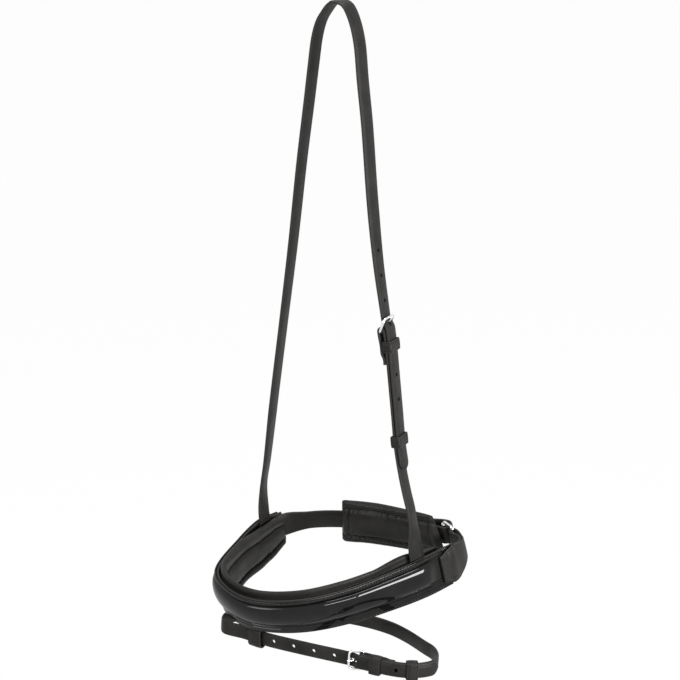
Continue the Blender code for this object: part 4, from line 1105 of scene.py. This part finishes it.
def line_rings(line, places, section_at):
    return [[line.spot(place, o, h) for o, h in section_at(place)] for place in places]


def build_noseband(context):
    """The backing, the patent panel with its raised swell, and the cord inside the swell."""
    places = spread(-HALF_BAND, HALF_BAND, STRAP_STEP)
    course = [(s, BACKING_THICK / 2) for s in places]
    backing = run_strap(context, "noseband_backing", NOSE, course, BACKING_THICK,
                        [band_half(s) for s in places], creased=False)
    set_on(settle(backing), "noseband", "strap_leather", "nose_backing")
    rings = line_rings(NOSE, spread(-PANEL_END, PANEL_END, STRAP_STEP), panel_section)
    panel = skin("patent_panel", rings, finish_for(context, "patent_leather"))
    set_on(settle(panel, 50.0), "noseband", "patent_leather", "nose_patent_front")

    def core(place):
        base = BACKING_THICK + GAP
        return swell_arch(place, base, SWELL_HALF - 0.0022, SWELL_RISE - GAP, 14)

    places = spread(-PANEL_END + 0.034, PANEL_END - 0.034, 0.004)
    cord = skin("swell_cord", line_rings(NOSE, places, core), finish_for(context, "swell_filler"))
    set_on(settle(cord), "noseband", "swell_filler", "nose_swell_core")


def outlined(shape, count):
    """A smooth closed outline through the points of a shape, as count even points."""
    dense = smooth(shape, True, 0.0005)
    dense = np.vstack([dense, dense[:1]])
    steps = np.concatenate([[0.0], np.cumsum(np.linalg.norm(np.diff(dense, axis=0), axis=1))])
    wanted = np.linspace(0.0, steps[-1], count, endpoint=False)
    return [tuple(float(np.interp(w, steps, dense[:, k])) for k in (0, 1)) for w in wanted]


def pad_rings(places, section_at, count, end_round, keeps_tall=0.0):
    """Sections of a pad in (place, offset, height), whose ends are drawn in and closed round."""
    first, last = places[0], places[-1]
    rows = []
    for place in places:
        left = min(place - first, last - place)
        shape = outlined(section_at(place), count)
        middle = np.mean(shape, axis=0)
        if left < end_round:
            drawn = 0.30 + 0.70 * math.sqrt(max(0.0, 1 - (1 - left / end_round) ** 2))
            tall = drawn + (1 - drawn) * keeps_tall
            shape = [(middle[0] + (o - middle[0]) * drawn, middle[1] + (h - middle[1]) * tall)
                     for o, h in shape]
        rows.append([(place, o, h) for o, h in shape])
    return rows


def pad_places(low, high, step, end_round):
    """Places along a pad, closer together where its ends close."""
    ends = [end_round * (1 - math.cos(TAU / 4 * k / 5)) for k in range(6)]
    return [low + e for e in ends] + spread(low + end_round, high - end_round, step)[1:-1] \
        + [high - e for e in reversed(ends)]


def blow_up(piece, most, free):
    """Swells a pad's sewn cover as cloth under pressure; free gives each point's share of most."""
    rest = np.zeros(len(piece.data.vertices) * 3)
    piece.data.vertices.foreach_get("co", rest)
    rest = rest.reshape(-1, 3)
    cloth = piece.modifiers.new("swell", 'CLOTH')
    for name, value in COVER.items():
        setattr(cloth.settings, name, value)
    cloth.settings.effector_weights.gravity = 0.0
    cloth.point_cache.frame_start = 1
    cloth.point_cache.frame_end = SWELL_FRAMES
    scene = bpy.context.scene
    for k in range(1, SWELL_FRAMES + 1):
        scene.frame_set(k)
    shown = piece.evaluated_get(bpy.context.evaluated_depsgraph_get())
    swollen = np.zeros(len(shown.data.vertices) * 3)
    shown.data.vertices.foreach_get("co", swollen)
    moved = swollen.reshape(-1, 3) - rest
    far = np.linalg.norm(moved, axis=1)
    allowed = most * np.array(free)
    moved *= np.minimum(1.0, allowed / np.maximum(far, 1e-9))[:, None]
    piece.modifiers.remove(cloth)
    scene.frame_set(1)
    piece.data.vertices.foreach_set("co", (rest + moved).ravel())
    piece.data.update()


def gathers(place, seed):
    """An uneven run of small gathers along a sewn channel, from -1 to 1."""
    pitch, drift, fade = GATHER_WAVES
    wave = math.sin(place * TAU / pitch + 2.1 * math.sin(place * TAU / drift + seed))
    return wave * (0.55 + 0.45 * math.sin(place * TAU / fade + 2 * seed))


def sewn_pad(context, name, rows, free, nearness):
    """A soft pad over the noseband's line: skinned, blown up, gathered at its channels and smoothed."""
    sizes = context.scene.bridle_sizes
    piece = skin(name, [[NOSE.spot(*p) for p in row] for row in rows], finish_for(context, "lining_leather"))
    flat = [p for row in rows for p in row]
    blow_up(piece, sizes.pad_swell, [free(*p) for p in flat])
    for vertex, (place, offset, height) in zip(piece.data.vertices, flat):
        close = nearness(place, offset, height)
        if close > 0.01:
            vertex.co += Vector(NOSE.frame(place)[2] * sizes.pucker * close * gathers(place, height * 90))
    piece.data.update()
    smoother = piece.modifiers.new("smooth", 'SUBSURF')
    smoother.levels = smoother.render_levels = 1
    return settle(piece, 80.0)


def pad_thickness(thick, from_middle, half):
    """A pad's thickness, which tapers towards its ends."""
    return thick * (THIN_END + (1 - THIN_END) * end_shrink(from_middle, half, END_TAPER))


def nose_recess(place, height):
    """Depth behind the backing for what is sewn in between it and the pad."""
    deep = SLIP_THICK + 2 * POCKET_PLAY + POCKET_EASE
    ends = ease(abs(place), NEAR_ATTACH - 0.052, NEAR_ATTACH - 0.014)
    loop_deep = 2 * LOOP_THICK + 2 * GAP + 2 * LOOP_BOW
    loop = 1 - ease(abs(place - LOOP_AT), LOOP_WIDTH / 2 + 0.003, LOOP_WIDTH / 2 + 0.022)
    return GAP + max((deep - GAP) * ends, loop_deep * loop * (1 - ease(height, -0.004, 0.014)))


NOSE_PAD_HALF = HALF_BAND - PAD_SHORT


def nose_pad_reach(place):
    """Top and bottom of the noseband's pad, and metres for each millimetre of its outline."""
    top = band_half(place) + PAD_RISE * through(PAD_ROLL, place / MM)
    low = -band_half(place) - PAD_DROP
    return top, low, MM * (top - low) / (BAND_HEIGHT + PAD_RISE + PAD_DROP)


def nose_pad_section(place):
    """Outline of the noseband's pad, from its lower outer edge round by the inside."""
    top, low, scale = nose_pad_reach(place)
    thick = pad_thickness(PAD_THICK, place, NOSE_PAD_HALF + 0.002)
    from_low = [(0.0, 4.5), (-0.18, 1.2), (-0.50, 0.0), (-0.88, 1.8), (-1.0, 5.5), (-0.80, 8.2),
                (-0.40, 9.2), (-0.74, 10.4), (-0.92, 13.0), (-1.0, 20.0)]
    from_top = [(-0.92, 18.5), (-0.74, 16.4), (-0.36, 15.0), (-0.80, 13.6), (-1.0, 11.0), (-1.12, 6.5),
                (-0.96, 1.8), (-0.60, 0.0), (-0.36, 1.4), (-0.28, 3.8), (-0.24, 7.0), (0.0, 10.0)]
    shape = [(share, low + rise_up * scale) for share, rise_up in from_low]
    shape += [(share, top - drop * scale) for share, drop in from_top]
    return [(share * thick - nose_recess(place, height), height) for share, height in shape]


def nose_channels(place):
    """Heights of the two sewn channels inside the noseband's pad."""
    top, low, scale = nose_pad_reach(place)
    return low + NOSE_CHANNELS[0] * scale, top - NOSE_CHANNELS[1] * scale


def hill(x, width):
    return math.exp(-(x / width) ** 2)


def build_nose_pad(context):
    """The noseband's soft pad: a roll over its top edge, and two sewn channels inside."""
    places = pad_places(-NOSE_PAD_HALF, NOSE_PAD_HALF, PAD_STEP, 0.005)
    rows = pad_rings(places, nose_pad_section, 84, 0.005, 0.6)

    def free(place, offset, height):
        behind = -nose_recess(place, height) - offset
        sewn = max(hill(height - c, 0.0020) for c in nose_channels(place))
        return ease(behind, 0.0020, 0.0042) * (1 - sewn)

    def nearness(place, offset, height):
        behind = -nose_recess(place, height) - offset
        low, high = nose_channels(place)
        close = max(hill(height - low, 0.0040), 0.6 * hill(height - high, 0.0040))
        return close * ease(behind, 0.0028, 0.0050)

    pad = sewn_pad(context, "noseband_pad", rows, free, nearness)
    set_on(pad, "noseband", "lining_leather", "nose_pad_lining", "nose_pad_foam")


def tab_slant(place):
    """How much the outer end of the ring's strap is cut down, at its top and its bottom."""
    return (1 - ease(place, RING_STRAP_START, RING_STRAP_START + 0.012)) * 0.004


def ring_strap_course():
    """Course of the ring's strap, half its height at each point, and the offset of its outer layer."""
    half = RING_STRAP_THICK / 2
    turn = RING_WIRE / 2 + FOLD_PLAY + half
    over = BACKING_THICK + GAP + PATENT_THICK + GAP + half
    under = -GAP - half
    layer = half + GAP / 2
    bar = RING_BAR_AT

    def outer(place):
        down = ease(place, PANEL_END + 0.001, HALF_BAND + 0.012)
        lift = ease(place, bar - 0.014, bar - 0.002)
        return over + (layer - over) * down + (turn - layer) * lift

    def inner(place):
        down = ease(place, HALF_BAND, HALF_BAND + 0.010)
        lift = ease(place, bar - 0.014, bar - 0.002)
        return under + (-layer - under) * down - (turn - layer) * lift

    def half_height(place):
        return (RING_STRAP_HEIGHT + (CHIN_WIDTH - RING_STRAP_HEIGHT)
                * ease(place, HALF_BAND + 0.004, bar - 0.018)) / 2

    places = spread(RING_STRAP_START, bar - 0.001, 0.0016)
    course = [(s, inner(s)) for s in places]
    course += bend(bar, 0.0, turn, 14)
    course += [(s, outer(s)) for s in reversed(places)]
    halves = [half_height(min(s, bar)) - (tab_slant(s) if i > len(course) / 2 else 0.0)
              for i, (s, _) in enumerate(course)]
    return course, halves, outer


def build_ring(context):
    """The ring's strap, the ring and the roller on its outer bar."""
    steel = finish_for(context, "hardware")
    course, halves, _ = ring_strap_course()
    piece = run_strap(context, "ring_tab", NOSE, course, RING_STRAP_THICK, halves,
                      grain_at=len(course) - 9)
    set_on(settle(piece), "noseband", "strap_leather", "ring_strap")

    wire = RING_WIRE / 2
    start = NOSE.spot(RING_BAR_AT)
    end = NOSE.spot(ROLLER_AT, ROLLER_OFFSET)
    width = NOSE.frame(RING_BAR_AT)[3]
    along, length = square_reach(start, end, width)
    half_wide = CHIN_WIDTH / 2 + 0.001 + wire
    shape = rounded(length / 2, half_wide, 0.001 + wire, 8)
    ring = wire_loop("ring", (start, along, length, width), shape, wire, 20, steel)
    set_on(ring, "ring", "hardware", "ring_loop")

    lift = np.cross(along, width)
    bore = wire + FOLD_PLAY
    outer = ROLLER_OUTER / 2
    centre = start + along * length
    trim = 0.0004
    tall = half_wide - wire - trim
    outline = [(bore, -tall), (outer - trim, -tall), (outer, -tall + trim), (outer, -tall * 0.5),
               (outer, 0.0), (outer, tall * 0.5), (outer, tall - trim), (outer - trim, tall), (bore, tall)]
    rings = [[centre + width * h + (along * math.cos(TAU * k / 40) + lift * math.sin(TAU * k / 40)) * r
              for k in range(40)] for r, h in outline]
    roller = skin("roller", rings, steel, True)
    set_on(settle(roller), "roller", "hardware", "ring_roller")


def build_chin_strap(context):
    """The chin strap through the ring and back to its buckle, with its chape and keepers."""
    turn = ROLLER_OFFSET - CHIN_INNER
    places = spread(NOSE.length - CHIN_SEWN, ROLLER_AT + 0.001, STRAP_STEP)
    low = (ROLLER_AT, ROLLER_OFFSET - turn)
    course = [(s, CHIN_INNER) for s in places] + [low] + bend(ROLLER_AT, ROLLER_OFFSET, turn, 16, -TAU / 2)
    top = ROLLER_OFFSET + turn
    course.append((ROLLER_AT, top))
    front = CHIN.place(CHIN_OVER_START)
    for s in spread(ROLLER_AT + 0.001, front, STRAP_STEP)[:-1]:
        course.append((s, top + (CHIN.strap_offset - top) * ease(s, ROLLER_AT, front)))
    course += CHIN.over_course(CHIN_OVER_START, CHIN_BILLET)
    widths = tip_widths(course, CHIN_WIDTH / 2, CHIN_TIP_LENGTH)
    for i, place in enumerate(places):
        narrowed = ease(NOSE.length - place, HALF_BAND, HALF_BAND + 0.030)
        widths[i] += CHIN_SPREAD / 2 * (1 - narrowed)
    piece = run_strap(context, "chin_billet", NOSE, course, CHIN_THICK, widths)
    cut(piece, *CHIN.hole_cutters("chin_hole", CHIN_PITCH, CHIN_HOLES))
    set_on(piece, "noseband", "strap_leather", "chin_strap")

    course = CHIN.fold_course(-CHAPE_LENGTH)
    chape = run_strap(context, "chin_chape", NOSE, course, CHAPE_THICK, CHIN_WIDTH / 2)
    cut(chape, CHIN.slot_cutter("chin_slot"))
    set_on(chape, "noseband", "strap_leather", "chin_buckle_chape")
    places = (CHIN_KEEPER_AT, CHAPE_LENGTH + 0.014 + KEEPER_WIDTH / 2)
    add_keepers(context, CHIN, "chin", "noseband", places, CHIN_INNER - CHIN_THICK / 2)


CHIN_MIDDLE = ROLLER_AT + CHIN_PAD_START + CHIN_PAD_LENGTH / 2
CHIN_PLATE = CHIN_INNER - CHIN_THICK / 2 - KEEPER_THICK - SIDE_PLAY - GAP - CHIN_PLATE_THICK / 2
CHIN_FACE = CHIN_PLATE - CHIN_PLATE_THICK / 2 - GAP


def chin_half_height(place, edge):
    return edge * (0.95 + 0.05 * end_shrink(place - CHIN_MIDDLE, CHIN_PAD_LENGTH / 2, 0.005))


def chin_pad_section(place):
    """Outline of the chin pad, from one outer edge round by the inside."""
    high = chin_half_height(place, CHIN_PAD_HEIGHT / 2)
    thick = pad_thickness(CHIN_PAD_THICK, place - CHIN_MIDDLE, CHIN_PAD_LENGTH / 2)
    shape = [(0.0, -0.90), (-0.30, -0.985), (-0.62, -1.0), (-0.92, -0.92), (-0.98, -0.78),
             (-0.58, -0.66), (-0.98, -0.54), (-1.10, 0.0), (-0.98, 0.54), (-0.58, 0.66),
             (-0.98, 0.78), (-0.92, 0.92), (-0.62, 1.0), (-0.30, 0.985), (0.0, 0.90)]
    return [(CHIN_FACE + share * thick, CHIN_PAD_LIFT + h * high) for share, h in shape]


def chin_lean(place, height):
    """Place along the pad, drawn on below and back above at its two ends, which are cut aslant."""
    high = height - CHIN_PAD_LIFT
    out = place
    for side, (reach, shift, slope) in ((1, CHIN_LEAN_FAR), (-1, CHIN_LEAN_NEAR)):
        share = ease(side * (place - CHIN_MIDDLE), CHIN_PAD_LENGTH / 2 - reach, CHIN_PAD_LENGTH / 2)
        out += side * share * (shift - slope * high)
    return out


def beyond_end_seam(place):
    """Distance outwards from the seam that runs up the chin pad near each end."""
    return abs(place - CHIN_MIDDLE) - (CHIN_PAD_LENGTH / 2 - CHIN_SEAM_IN)


def from_chin_seam(place, height):
    """Distance outwards from the seam that runs round the chin pad, negative inside it."""
    above = abs(height - CHIN_PAD_LIFT) - CHIN_SEAM_HIGH * CHIN_PAD_HEIGHT / 2
    return max(beyond_end_seam(place), above)


def chin_end_groove(place, offset, height):
    """Depth of the seam that runs up the chin pad near each end, inside."""
    high = CHIN_PAD_HEIGHT / 2
    within = 1 - ease(abs(height - CHIN_PAD_LIFT), 0.60 * high, 0.74 * high)
    return 0.0026 * hill(beyond_end_seam(place), 0.0016) * within * ease(CHIN_FACE - offset, 0.0030, 0.0055)


def build_chin_pad(context):
    """The chin pad: its plate, and a soft cushion with a seam all round."""
    half = CHIN_PAD_LENGTH / 2 - 0.003
    places = spread(CHIN_MIDDLE - half, CHIN_MIDDLE + half, STRAP_STEP)
    tall = [chin_half_height(s, CHIN_PAD_HEIGHT / 2 - 0.003) for s in places]
    plate = run_strap(context, "chin_plate", NOSE, [(s, CHIN_PLATE) for s in places], CHIN_PLATE_THICK,
                      tall, creased=False, lift=CHIN_PAD_LIFT)
    set_on(settle(plate), "noseband", "strap_leather", "chin_pad_plate")

    ends = CHIN_PAD_LENGTH / 2
    places = pad_places(CHIN_MIDDLE - ends, CHIN_MIDDLE + ends, CHIN_PAD_STEP, 0.0035)
    rows = pad_rings(places, chin_pad_section, 76, 0.0035, 0.93)

    def free(place, offset, height):
        return ease(CHIN_FACE - offset, 0.0016, 0.0038) * (1 - hill(from_chin_seam(place, height), 0.0018))

    def nearness(place, offset, height):
        return hill(from_chin_seam(place, height), 0.0045) * ease(CHIN_FACE - offset, 0.0022, 0.0045)

    rows = [[(chin_lean(s, h), o + chin_end_groove(s, o, h), h) for s, o, h in row] for row in rows]
    pad = sewn_pad(context, "chin_cushion", rows, free, nearness)
    set_on(pad, "noseband", "lining_leather", "chin_pad_lining", "chin_pad_foam")


def build_flash(context):
    """The loop under the nose, and the flash strap with its keepers."""
    point, along, normal, up = NOSE.frame(LOOP_AT)
    gap = (LOOP_THICK + GAP) / 2
    centre = -GAP - LOOP_BOW - LOOP_THICK - GAP / 2
    edge = -BAND_HEIGHT / 2 - LOOP_DIP
    fall = LOOP_FALL + FLASH_WIDTH / 2 + LOOP_PLAY + LOOP_THICK / 2
    open_half = FLASH_THICK / 2 + LOOP_PLAY + LOOP_THICK / 2
    down = np.array([0.0, 0.0, -1.0])
    side = unit(np.cross(down, along))
    if np.dot(side, normal) < 0:
        side = -side

    base = point + normal * centre + up * edge

    def wall(sign):
        out = [point + normal * (centre + sign * gap) + up * h for h in spread(edge + LOOP_TAB, edge, 0.002)]
        for drop in spread(0.001, fall - open_half, 0.0012):
            wide = gap + (open_half - gap) * ease(drop, 0.0, 0.0060)
            out.append(base + down * drop + side * sign * wide)
        return out

    hollow = base + down * (fall - open_half)
    angles = [TAU / 2 * k / 14 for k in range(1, 14)]
    bottom = [hollow + side * open_half * math.cos(a) + down * open_half * math.sin(a) for a in angles]
    middles = wall(1) + bottom + wall(-1)[::-1]
    lowest = len(middles) // 2
    turned = np.dot(np.cross(middles[lowest + 1] - middles[lowest - 1], along), down) < 0
    loop = strap(context, "loop_tab", middles, [along] * len(middles), LOOP_THICK,
                 [(-LOOP_WIDTH / 2, LOOP_WIDTH / 2)] * len(middles), flip=bool(turned))
    set_on(settle(loop), "noseband", "strap_leather", "flash_loop")

    buckle = FLASH_BUCKLE
    course = buckle.fold_course(OVER_START - FLASH.length)
    course += [(s + FLASH.length, o) for s, o in buckle.over_course(OVER_START, FLASH_BILLET)[1:]]
    widths = tip_widths(course, FLASH_WIDTH / 2, TIP_LENGTH)
    piece = run_strap(context, "flash_run", FLASH, course, FLASH_THICK, widths)
    holes = buckle.hole_cutters("flash_hole", FLASH_PITCH, FLASH_HOLES)
    cut(piece, buckle.slot_cutter("flash_slot"), *holes)
    set_on(piece, "flash", "strap_leather", "flash_strap")
    add_keepers(context, buckle, "flash", "flash", (FLASH_KEEPER_AT, FLASH_RUNNER_AT))


def build_buckles(context):
    """The three buckles, each a frame and a tongue."""
    steel = finish_for(context, "hardware")
    for name, buckle in (("cheek", CHEEK), ("chin", CHIN), ("flash", FLASH_BUCKLE)):
        piece = buckle.frame_piece(name + "_frame_wire", steel)
        set_on(piece, name + "_frame", "hardware", name + "_buckle_frame")
        prong = buckle.tongue_piece(name + "_prong", steel)
        set_on(prong, name + "_tongue", "hardware", name + "_buckle_tongue")


def stitch_tree(thread):
    """Geometry nodes that lay one stitch at each pitch along rows of points."""
    tree = bpy.data.node_groups.new("stitch_rows", 'GeometryNodeTree')
    face = tree.interface
    face.new_socket("Rows", in_out='INPUT', socket_type='NodeSocketGeometry')
    for name in ("Pitch", "Length", "Thickness", "Lean"):
        face.new_socket(name, in_out='INPUT', socket_type='NodeSocketFloat')
    face.new_socket("Stitches", in_out='OUTPUT', socket_type='NodeSocketGeometry')
    given = node(tree, "NodeGroupInput")
    curve = node(tree, "GeometryNodeMeshToCurve", {"Mesh": given["Rows"]})["Curve"]
    spaced = node(tree, "GeometryNodeResampleCurve", mode='LENGTH',
                  inputs={"Curve": curve, "Length": given["Pitch"]})["Curve"]
    tangent = node(tree, "GeometryNodeInputTangent")["Tangent"]
    out = node(tree, "GeometryNodeInputNamedAttribute", {"Name": "out"}, data_type='FLOAT_VECTOR')
    turned = node(tree, "FunctionNodeAxesToRotation", primary_axis='Z', secondary_axis='X',
                  inputs={"Primary Axis": out["Attribute"], "Secondary Axis": tangent})["Rotation"]
    lean = node(tree, "FunctionNodeAxisAngleToRotation",
                {"Axis": (0.0, 0.0, 1.0), "Angle": given["Lean"]})["Rotation"]
    both = node(tree, "FunctionNodeRotateRotation", rotation_space='LOCAL',
                inputs={"Rotation": turned, "Rotate By": lean})["Rotation"]
    bead = node(tree, "GeometryNodeMeshUVSphere", {"Segments": 6, "Rings": 5, "Radius": 0.5})["Mesh"]
    uneven = node(tree, "FunctionNodeRandomValue", {2: 0.9, 3: 1.06, "Seed": 7})[1]
    longer = node(tree, "ShaderNodeMath", {0: given["Length"], 1: uneven}, operation='MULTIPLY')["Value"]
    thick = given["Thickness"]
    size = node(tree, "ShaderNodeCombineXYZ", {"X": longer, "Y": thick, "Z": thick})["Vector"]
    laid = node(tree, "GeometryNodeInstanceOnPoints",
                {"Points": spaced, "Instance": bead, "Rotation": both, "Scale": size})["Instances"]
    real = node(tree, "GeometryNodeRealizeInstances", {"Geometry": laid})["Geometry"]
    coated = node(tree, "GeometryNodeSetMaterial", {"Geometry": real, "Material": thread})["Geometry"]
    node(tree, "NodeGroupOutput", {"Stitches": coated})
    return tree


def sew(context, name, rows, body, tree):
    """One mesh of stitches along a body's rows of (point, outward direction)."""
    sizes = context.scene.bridle_sizes
    points = []
    outs = []
    edges = []
    for row in rows:
        base = len(points)
        points += [tuple(p) for p, _ in row]
        outs += [tuple(o) for _, o in row]
        edges += [(base + i, base + i + 1) for i in range(len(row) - 1)]
    mesh = bpy.data.meshes.new(name)
    mesh.from_pydata(points, edges, [])
    out = mesh.attributes.new("out", 'FLOAT_VECTOR', 'POINT')
    out.data.foreach_set("vector", np.array(outs, np.float32).ravel())
    piece = link(bpy.data.objects.new(name, mesh))
    made = piece.modifiers.new("stitches", 'NODES')
    made.node_group = tree
    values = {"Pitch": sizes.stitch_pitch, "Length": sizes.stitch_length, "Thickness": sizes.thread,
              "Lean": math.radians(7.0)}
    for item in tree.interface.items_tree:
        if item.in_out == 'INPUT' and item.name in values:
            made[item.identifier] = values[item.name]
    settle(piece, 80.0)
    if not piece.data.materials:
        piece.data.materials.append(finish_for(context, "thread"))
    set_on(piece, body, "strap_leather")


def row_along(line, places, spot_at, sign=1.0):
    """A row of stitches; spot_at gives offset and height at each place."""
    return [(line.spot(place, *spot_at(place)), line.frame(place)[2] * sign) for place in places]


def fold_rows(buckle):
    """Two rows of stitches under the fold that holds a buckle, behind its fixed keeper."""
    first = buckle.return_end() + 0.002
    last = -buckle.keeper_at - KEEPER_WIDTH / 2 - 0.0015
    places = [buckle.place(s) for s in spread(first, last, 0.0015)]
    high = buckle.width / 2 - FOLD_STITCH_IN

    def under(place):
        return buckle.lower(buckle.sigma(place)) - buckle.fold_thick / 2 + THREAD_SINK

    return [row_along(buckle.line, places, lambda s, k=side: (under(s), k * high), -1.0) for side in (-1, 1)]


def build_stitching(context):
    """All visible rows of stitches, one mesh for each body."""
    tree = stitch_tree(finish_for(context, "thread"))
    panel = BACKING_THICK + GAP + PATENT_THICK - PANEL_SINK
    places = spread(-PANEL_END + 0.003, RING_STRAP_START - 0.002, 0.003)
    rows = [row_along(NOSE, places, lambda s, h=height: (panel, h * MM * band_half(s) / (BAND_HEIGHT / 2)))
            for height in STITCHED_AT]
    _, _, tab_outer = ring_strap_course()
    face = RING_STRAP_THICK / 2 - THREAD_SINK
    high = RING_STRAP_HEIGHT / 2 - TAB_STITCH_IN
    places = spread(RING_STRAP_START + 0.004, HALF_BAND + 0.006, 0.002)
    rows += [row_along(NOSE, places, lambda s, k=side: (tab_outer(s) + face, k * (high - tab_slant(s))))
             for side in (-1, 1)]
    at = HALF_BAND + TAB_ROW_AT
    tall = RING_STRAP_HEIGHT / 2 - TAB_ROW_IN
    rows.append([(NOSE.spot(at, tab_outer(at) + face, h), NOSE.frame(at)[2])
                 for h in spread(-tall, tall, 0.003)])
    sew(context, "noseband_stitches", rows, "noseband", tree)
    sew(context, "headstrap_stitches", fold_rows(CHEEK), "headstrap", tree)
    sew(context, "flash_stitches", fold_rows(FLASH_BUCKLE), "flash", tree)


def camera_axes(studio):
    """Directions from the bridle to the camera, to its right and upwards."""
    a, e = studio.azimuth, studio.elevation
    back = Vector((math.sin(a) * math.cos(e), -math.cos(a) * math.cos(e), math.sin(e)))
    right = Vector((math.cos(a), math.sin(a), 0.0))
    return back, right, back.cross(right)


AIM = Vector((0.009, -0.010, -0.318))
# Each lamp's way from the bridle (to the camera's right, up, towards it), distance, size and power
LAMPS = {"key_box": ((-0.8, 0.6, 0.6), 1.9, (1.0, 1.0), 24.0),
         "top_box": ((0.1, 1.5, -0.1), 2.2, (1.0, 1.0), 42.0),
         "side_box": ((0.73, 0.12, 0.68), 1.8, (0.80, 0.50), 46.0),
         "side_tail": ((0.40, 0.05, 0.92), 1.8, (0.60, 0.16), 10.0)}


def lamp(name, studio, ways, distance, size, power):
    """A soft lamp, placed by its direction as seen from the camera."""
    back, right, _ = camera_axes(studio)
    across, height, towards = ways
    way = (right * across + Vector((0, 0, 1)) * height + Vector((back.x, back.y, 0)) * towards).normalized()
    data = bpy.data.lights.new(name, 'AREA')
    data.shape = 'RECTANGLE'
    data.size, data.size_y = size
    data.energy = power * studio.lamp
    made = link(bpy.data.objects.new(name, data))
    made.location = AIM + way * distance
    made.rotation_euler = way.to_track_quat('Z', 'Y').to_euler()


def white_when_seen(tree, shadowed, share):
    """Mixes a shader with plain white where the camera, a mirror or glass sees it."""
    path = node(tree, "ShaderNodeLightPath")
    seen = path["Is Camera Ray"]
    for ray in ("Is Glossy Ray", "Is Transmission Ray"):
        seen = node(tree, "ShaderNodeMath", {0: seen, 1: path[ray]}, operation='MAXIMUM')["Value"]
    scaled = node(tree, "ShaderNodeMath", {0: seen, 1: share}, operation='MULTIPLY')["Value"]
    is_room = isinstance(shadowed.node, bpy.types.ShaderNodeBackground)
    kind = "ShaderNodeBackground" if is_room else "ShaderNodeEmission"
    white = node(tree, kind, {"Strength": 1.0, "Color": WHITE})
    return node(tree, "ShaderNodeMixShader", {"Fac": scaled, 1: shadowed, 2: white[0]})["Shader"]


def build_stage(context):
    """Camera, lamps, a pale floor and a white room."""
    scene = context.scene
    studio = scene.bridle_studio
    data = bpy.data.cameras.new("camera")
    data.sensor_width = SENSOR
    data.lens = studio.lens
    data.dof.use_dof = False
    data.clip_end = 60.0
    eye = link(bpy.data.objects.new("camera", data))
    back, _, _ = camera_axes(studio)
    eye.location = AIM + back * studio.distance
    eye.rotation_euler = back.to_track_quat('Z', 'Y').to_euler()
    scene.camera = eye
    scene.view_settings.view_transform = 'Standard'

    level = CAD_BOX[0].z - studio.floor_drop
    made = bmesh.new()
    bmesh.ops.create_grid(made, x_segments=8, y_segments=8, size=FLOOR_HALF)
    bmesh.ops.translate(made, verts=made.verts, vec=(0.0, 0.0, level))
    mesh = bpy.data.meshes.new("floor")
    made.to_mesh(mesh)
    made.free()
    floor = link(bpy.data.objects.new("floor", mesh))
    paint = bpy.data.materials.new("pale_floor")
    paint.use_nodes = True
    tree = paint.node_tree
    shader = tree.nodes["Principled BSDF"]
    shader.inputs["Base Color"].default_value = (0.80, 0.80, 0.80, 1.0)
    shader.inputs["Roughness"].default_value = 0.9
    out = tree.nodes["Material Output"]
    tree.links.new(white_when_seen(tree, shader.outputs["BSDF"], 0.97), out.inputs["Surface"])
    mesh.materials.append(paint)

    world = bpy.data.worlds.new("white_room")
    world.use_nodes = True
    scene.world = world
    tree = world.node_tree
    sky = tree.nodes["Background"]
    sky.inputs["Color"].default_value = WHITE
    sky.inputs["Strength"].default_value = 0.27
    out = tree.nodes["World Output"]
    tree.links.new(white_when_seen(tree, sky.outputs["Background"], 1.0), out.inputs["Surface"])
    for name, placing in LAMPS.items():
        lamp(name, studio, *placing)


def step(label, build):
    """An operator that makes one piece or group of pieces."""
    name = build.__name__.removeprefix("build_")

    def execute(self, context):
        build(context)
        return {'FINISHED'}

    return type("BRIDLE_OT_" + name, (Operator,), {
        "__doc__": build.__doc__, "bl_idname": "bridle." + name, "bl_label": label, "execute": execute})


STEPS = [step(label, build) for label, build in (
    ("Stage", build_stage), ("Sliphead", build_sliphead), ("Noseband", build_noseband),
    ("Noseband pad", build_nose_pad), ("Ring", build_ring), ("Chin strap", build_chin_strap),
    ("Chin pad", build_chin_pad), ("Flash strap", build_flash), ("Buckles", build_buckles),
    ("Stitching", build_stitching))]


class BRIDLE_PT_pieces(Panel):
    """Lists the bridle's pieces and its settings in the sidebar."""
    bl_label = "Flash bridle"
    bl_idname = "BRIDLE_PT_pieces"
    bl_space_type = 'VIEW_3D'
    bl_region_type = 'UI'
    bl_category = "Bridle"

    def draw(self, context):
        for group_name, group in GROUPS.items():
            box = self.layout.box()
            for name in group.__annotations__:
                box.prop(getattr(context.scene, group_name), name)
        for operator in STEPS:
            self.layout.operator(operator.bl_idname)


GROUPS = {"bridle_sizes": BridleSizes, "bridle_finish": BridleFinish, "bridle_studio": BridleStudio}
CLASSES = [*GROUPS.values(), *STEPS, BRIDLE_PT_pieces]


def register():
    for made in CLASSES:
        bpy.utils.register_class(made)
    for name, group in GROUPS.items():
        setattr(bpy.types.Scene, name, PointerProperty(type=group))


def unregister():
    for name in GROUPS:
        delattr(bpy.types.Scene, name)
    for made in reversed(CLASSES):
        bpy.utils.unregister_class(made)


def main():
    register()
    for operator in STEPS:
        getattr(bpy.ops.bridle, operator.bl_idname.split(".")[1])()


if __name__ == "__main__":
    main()
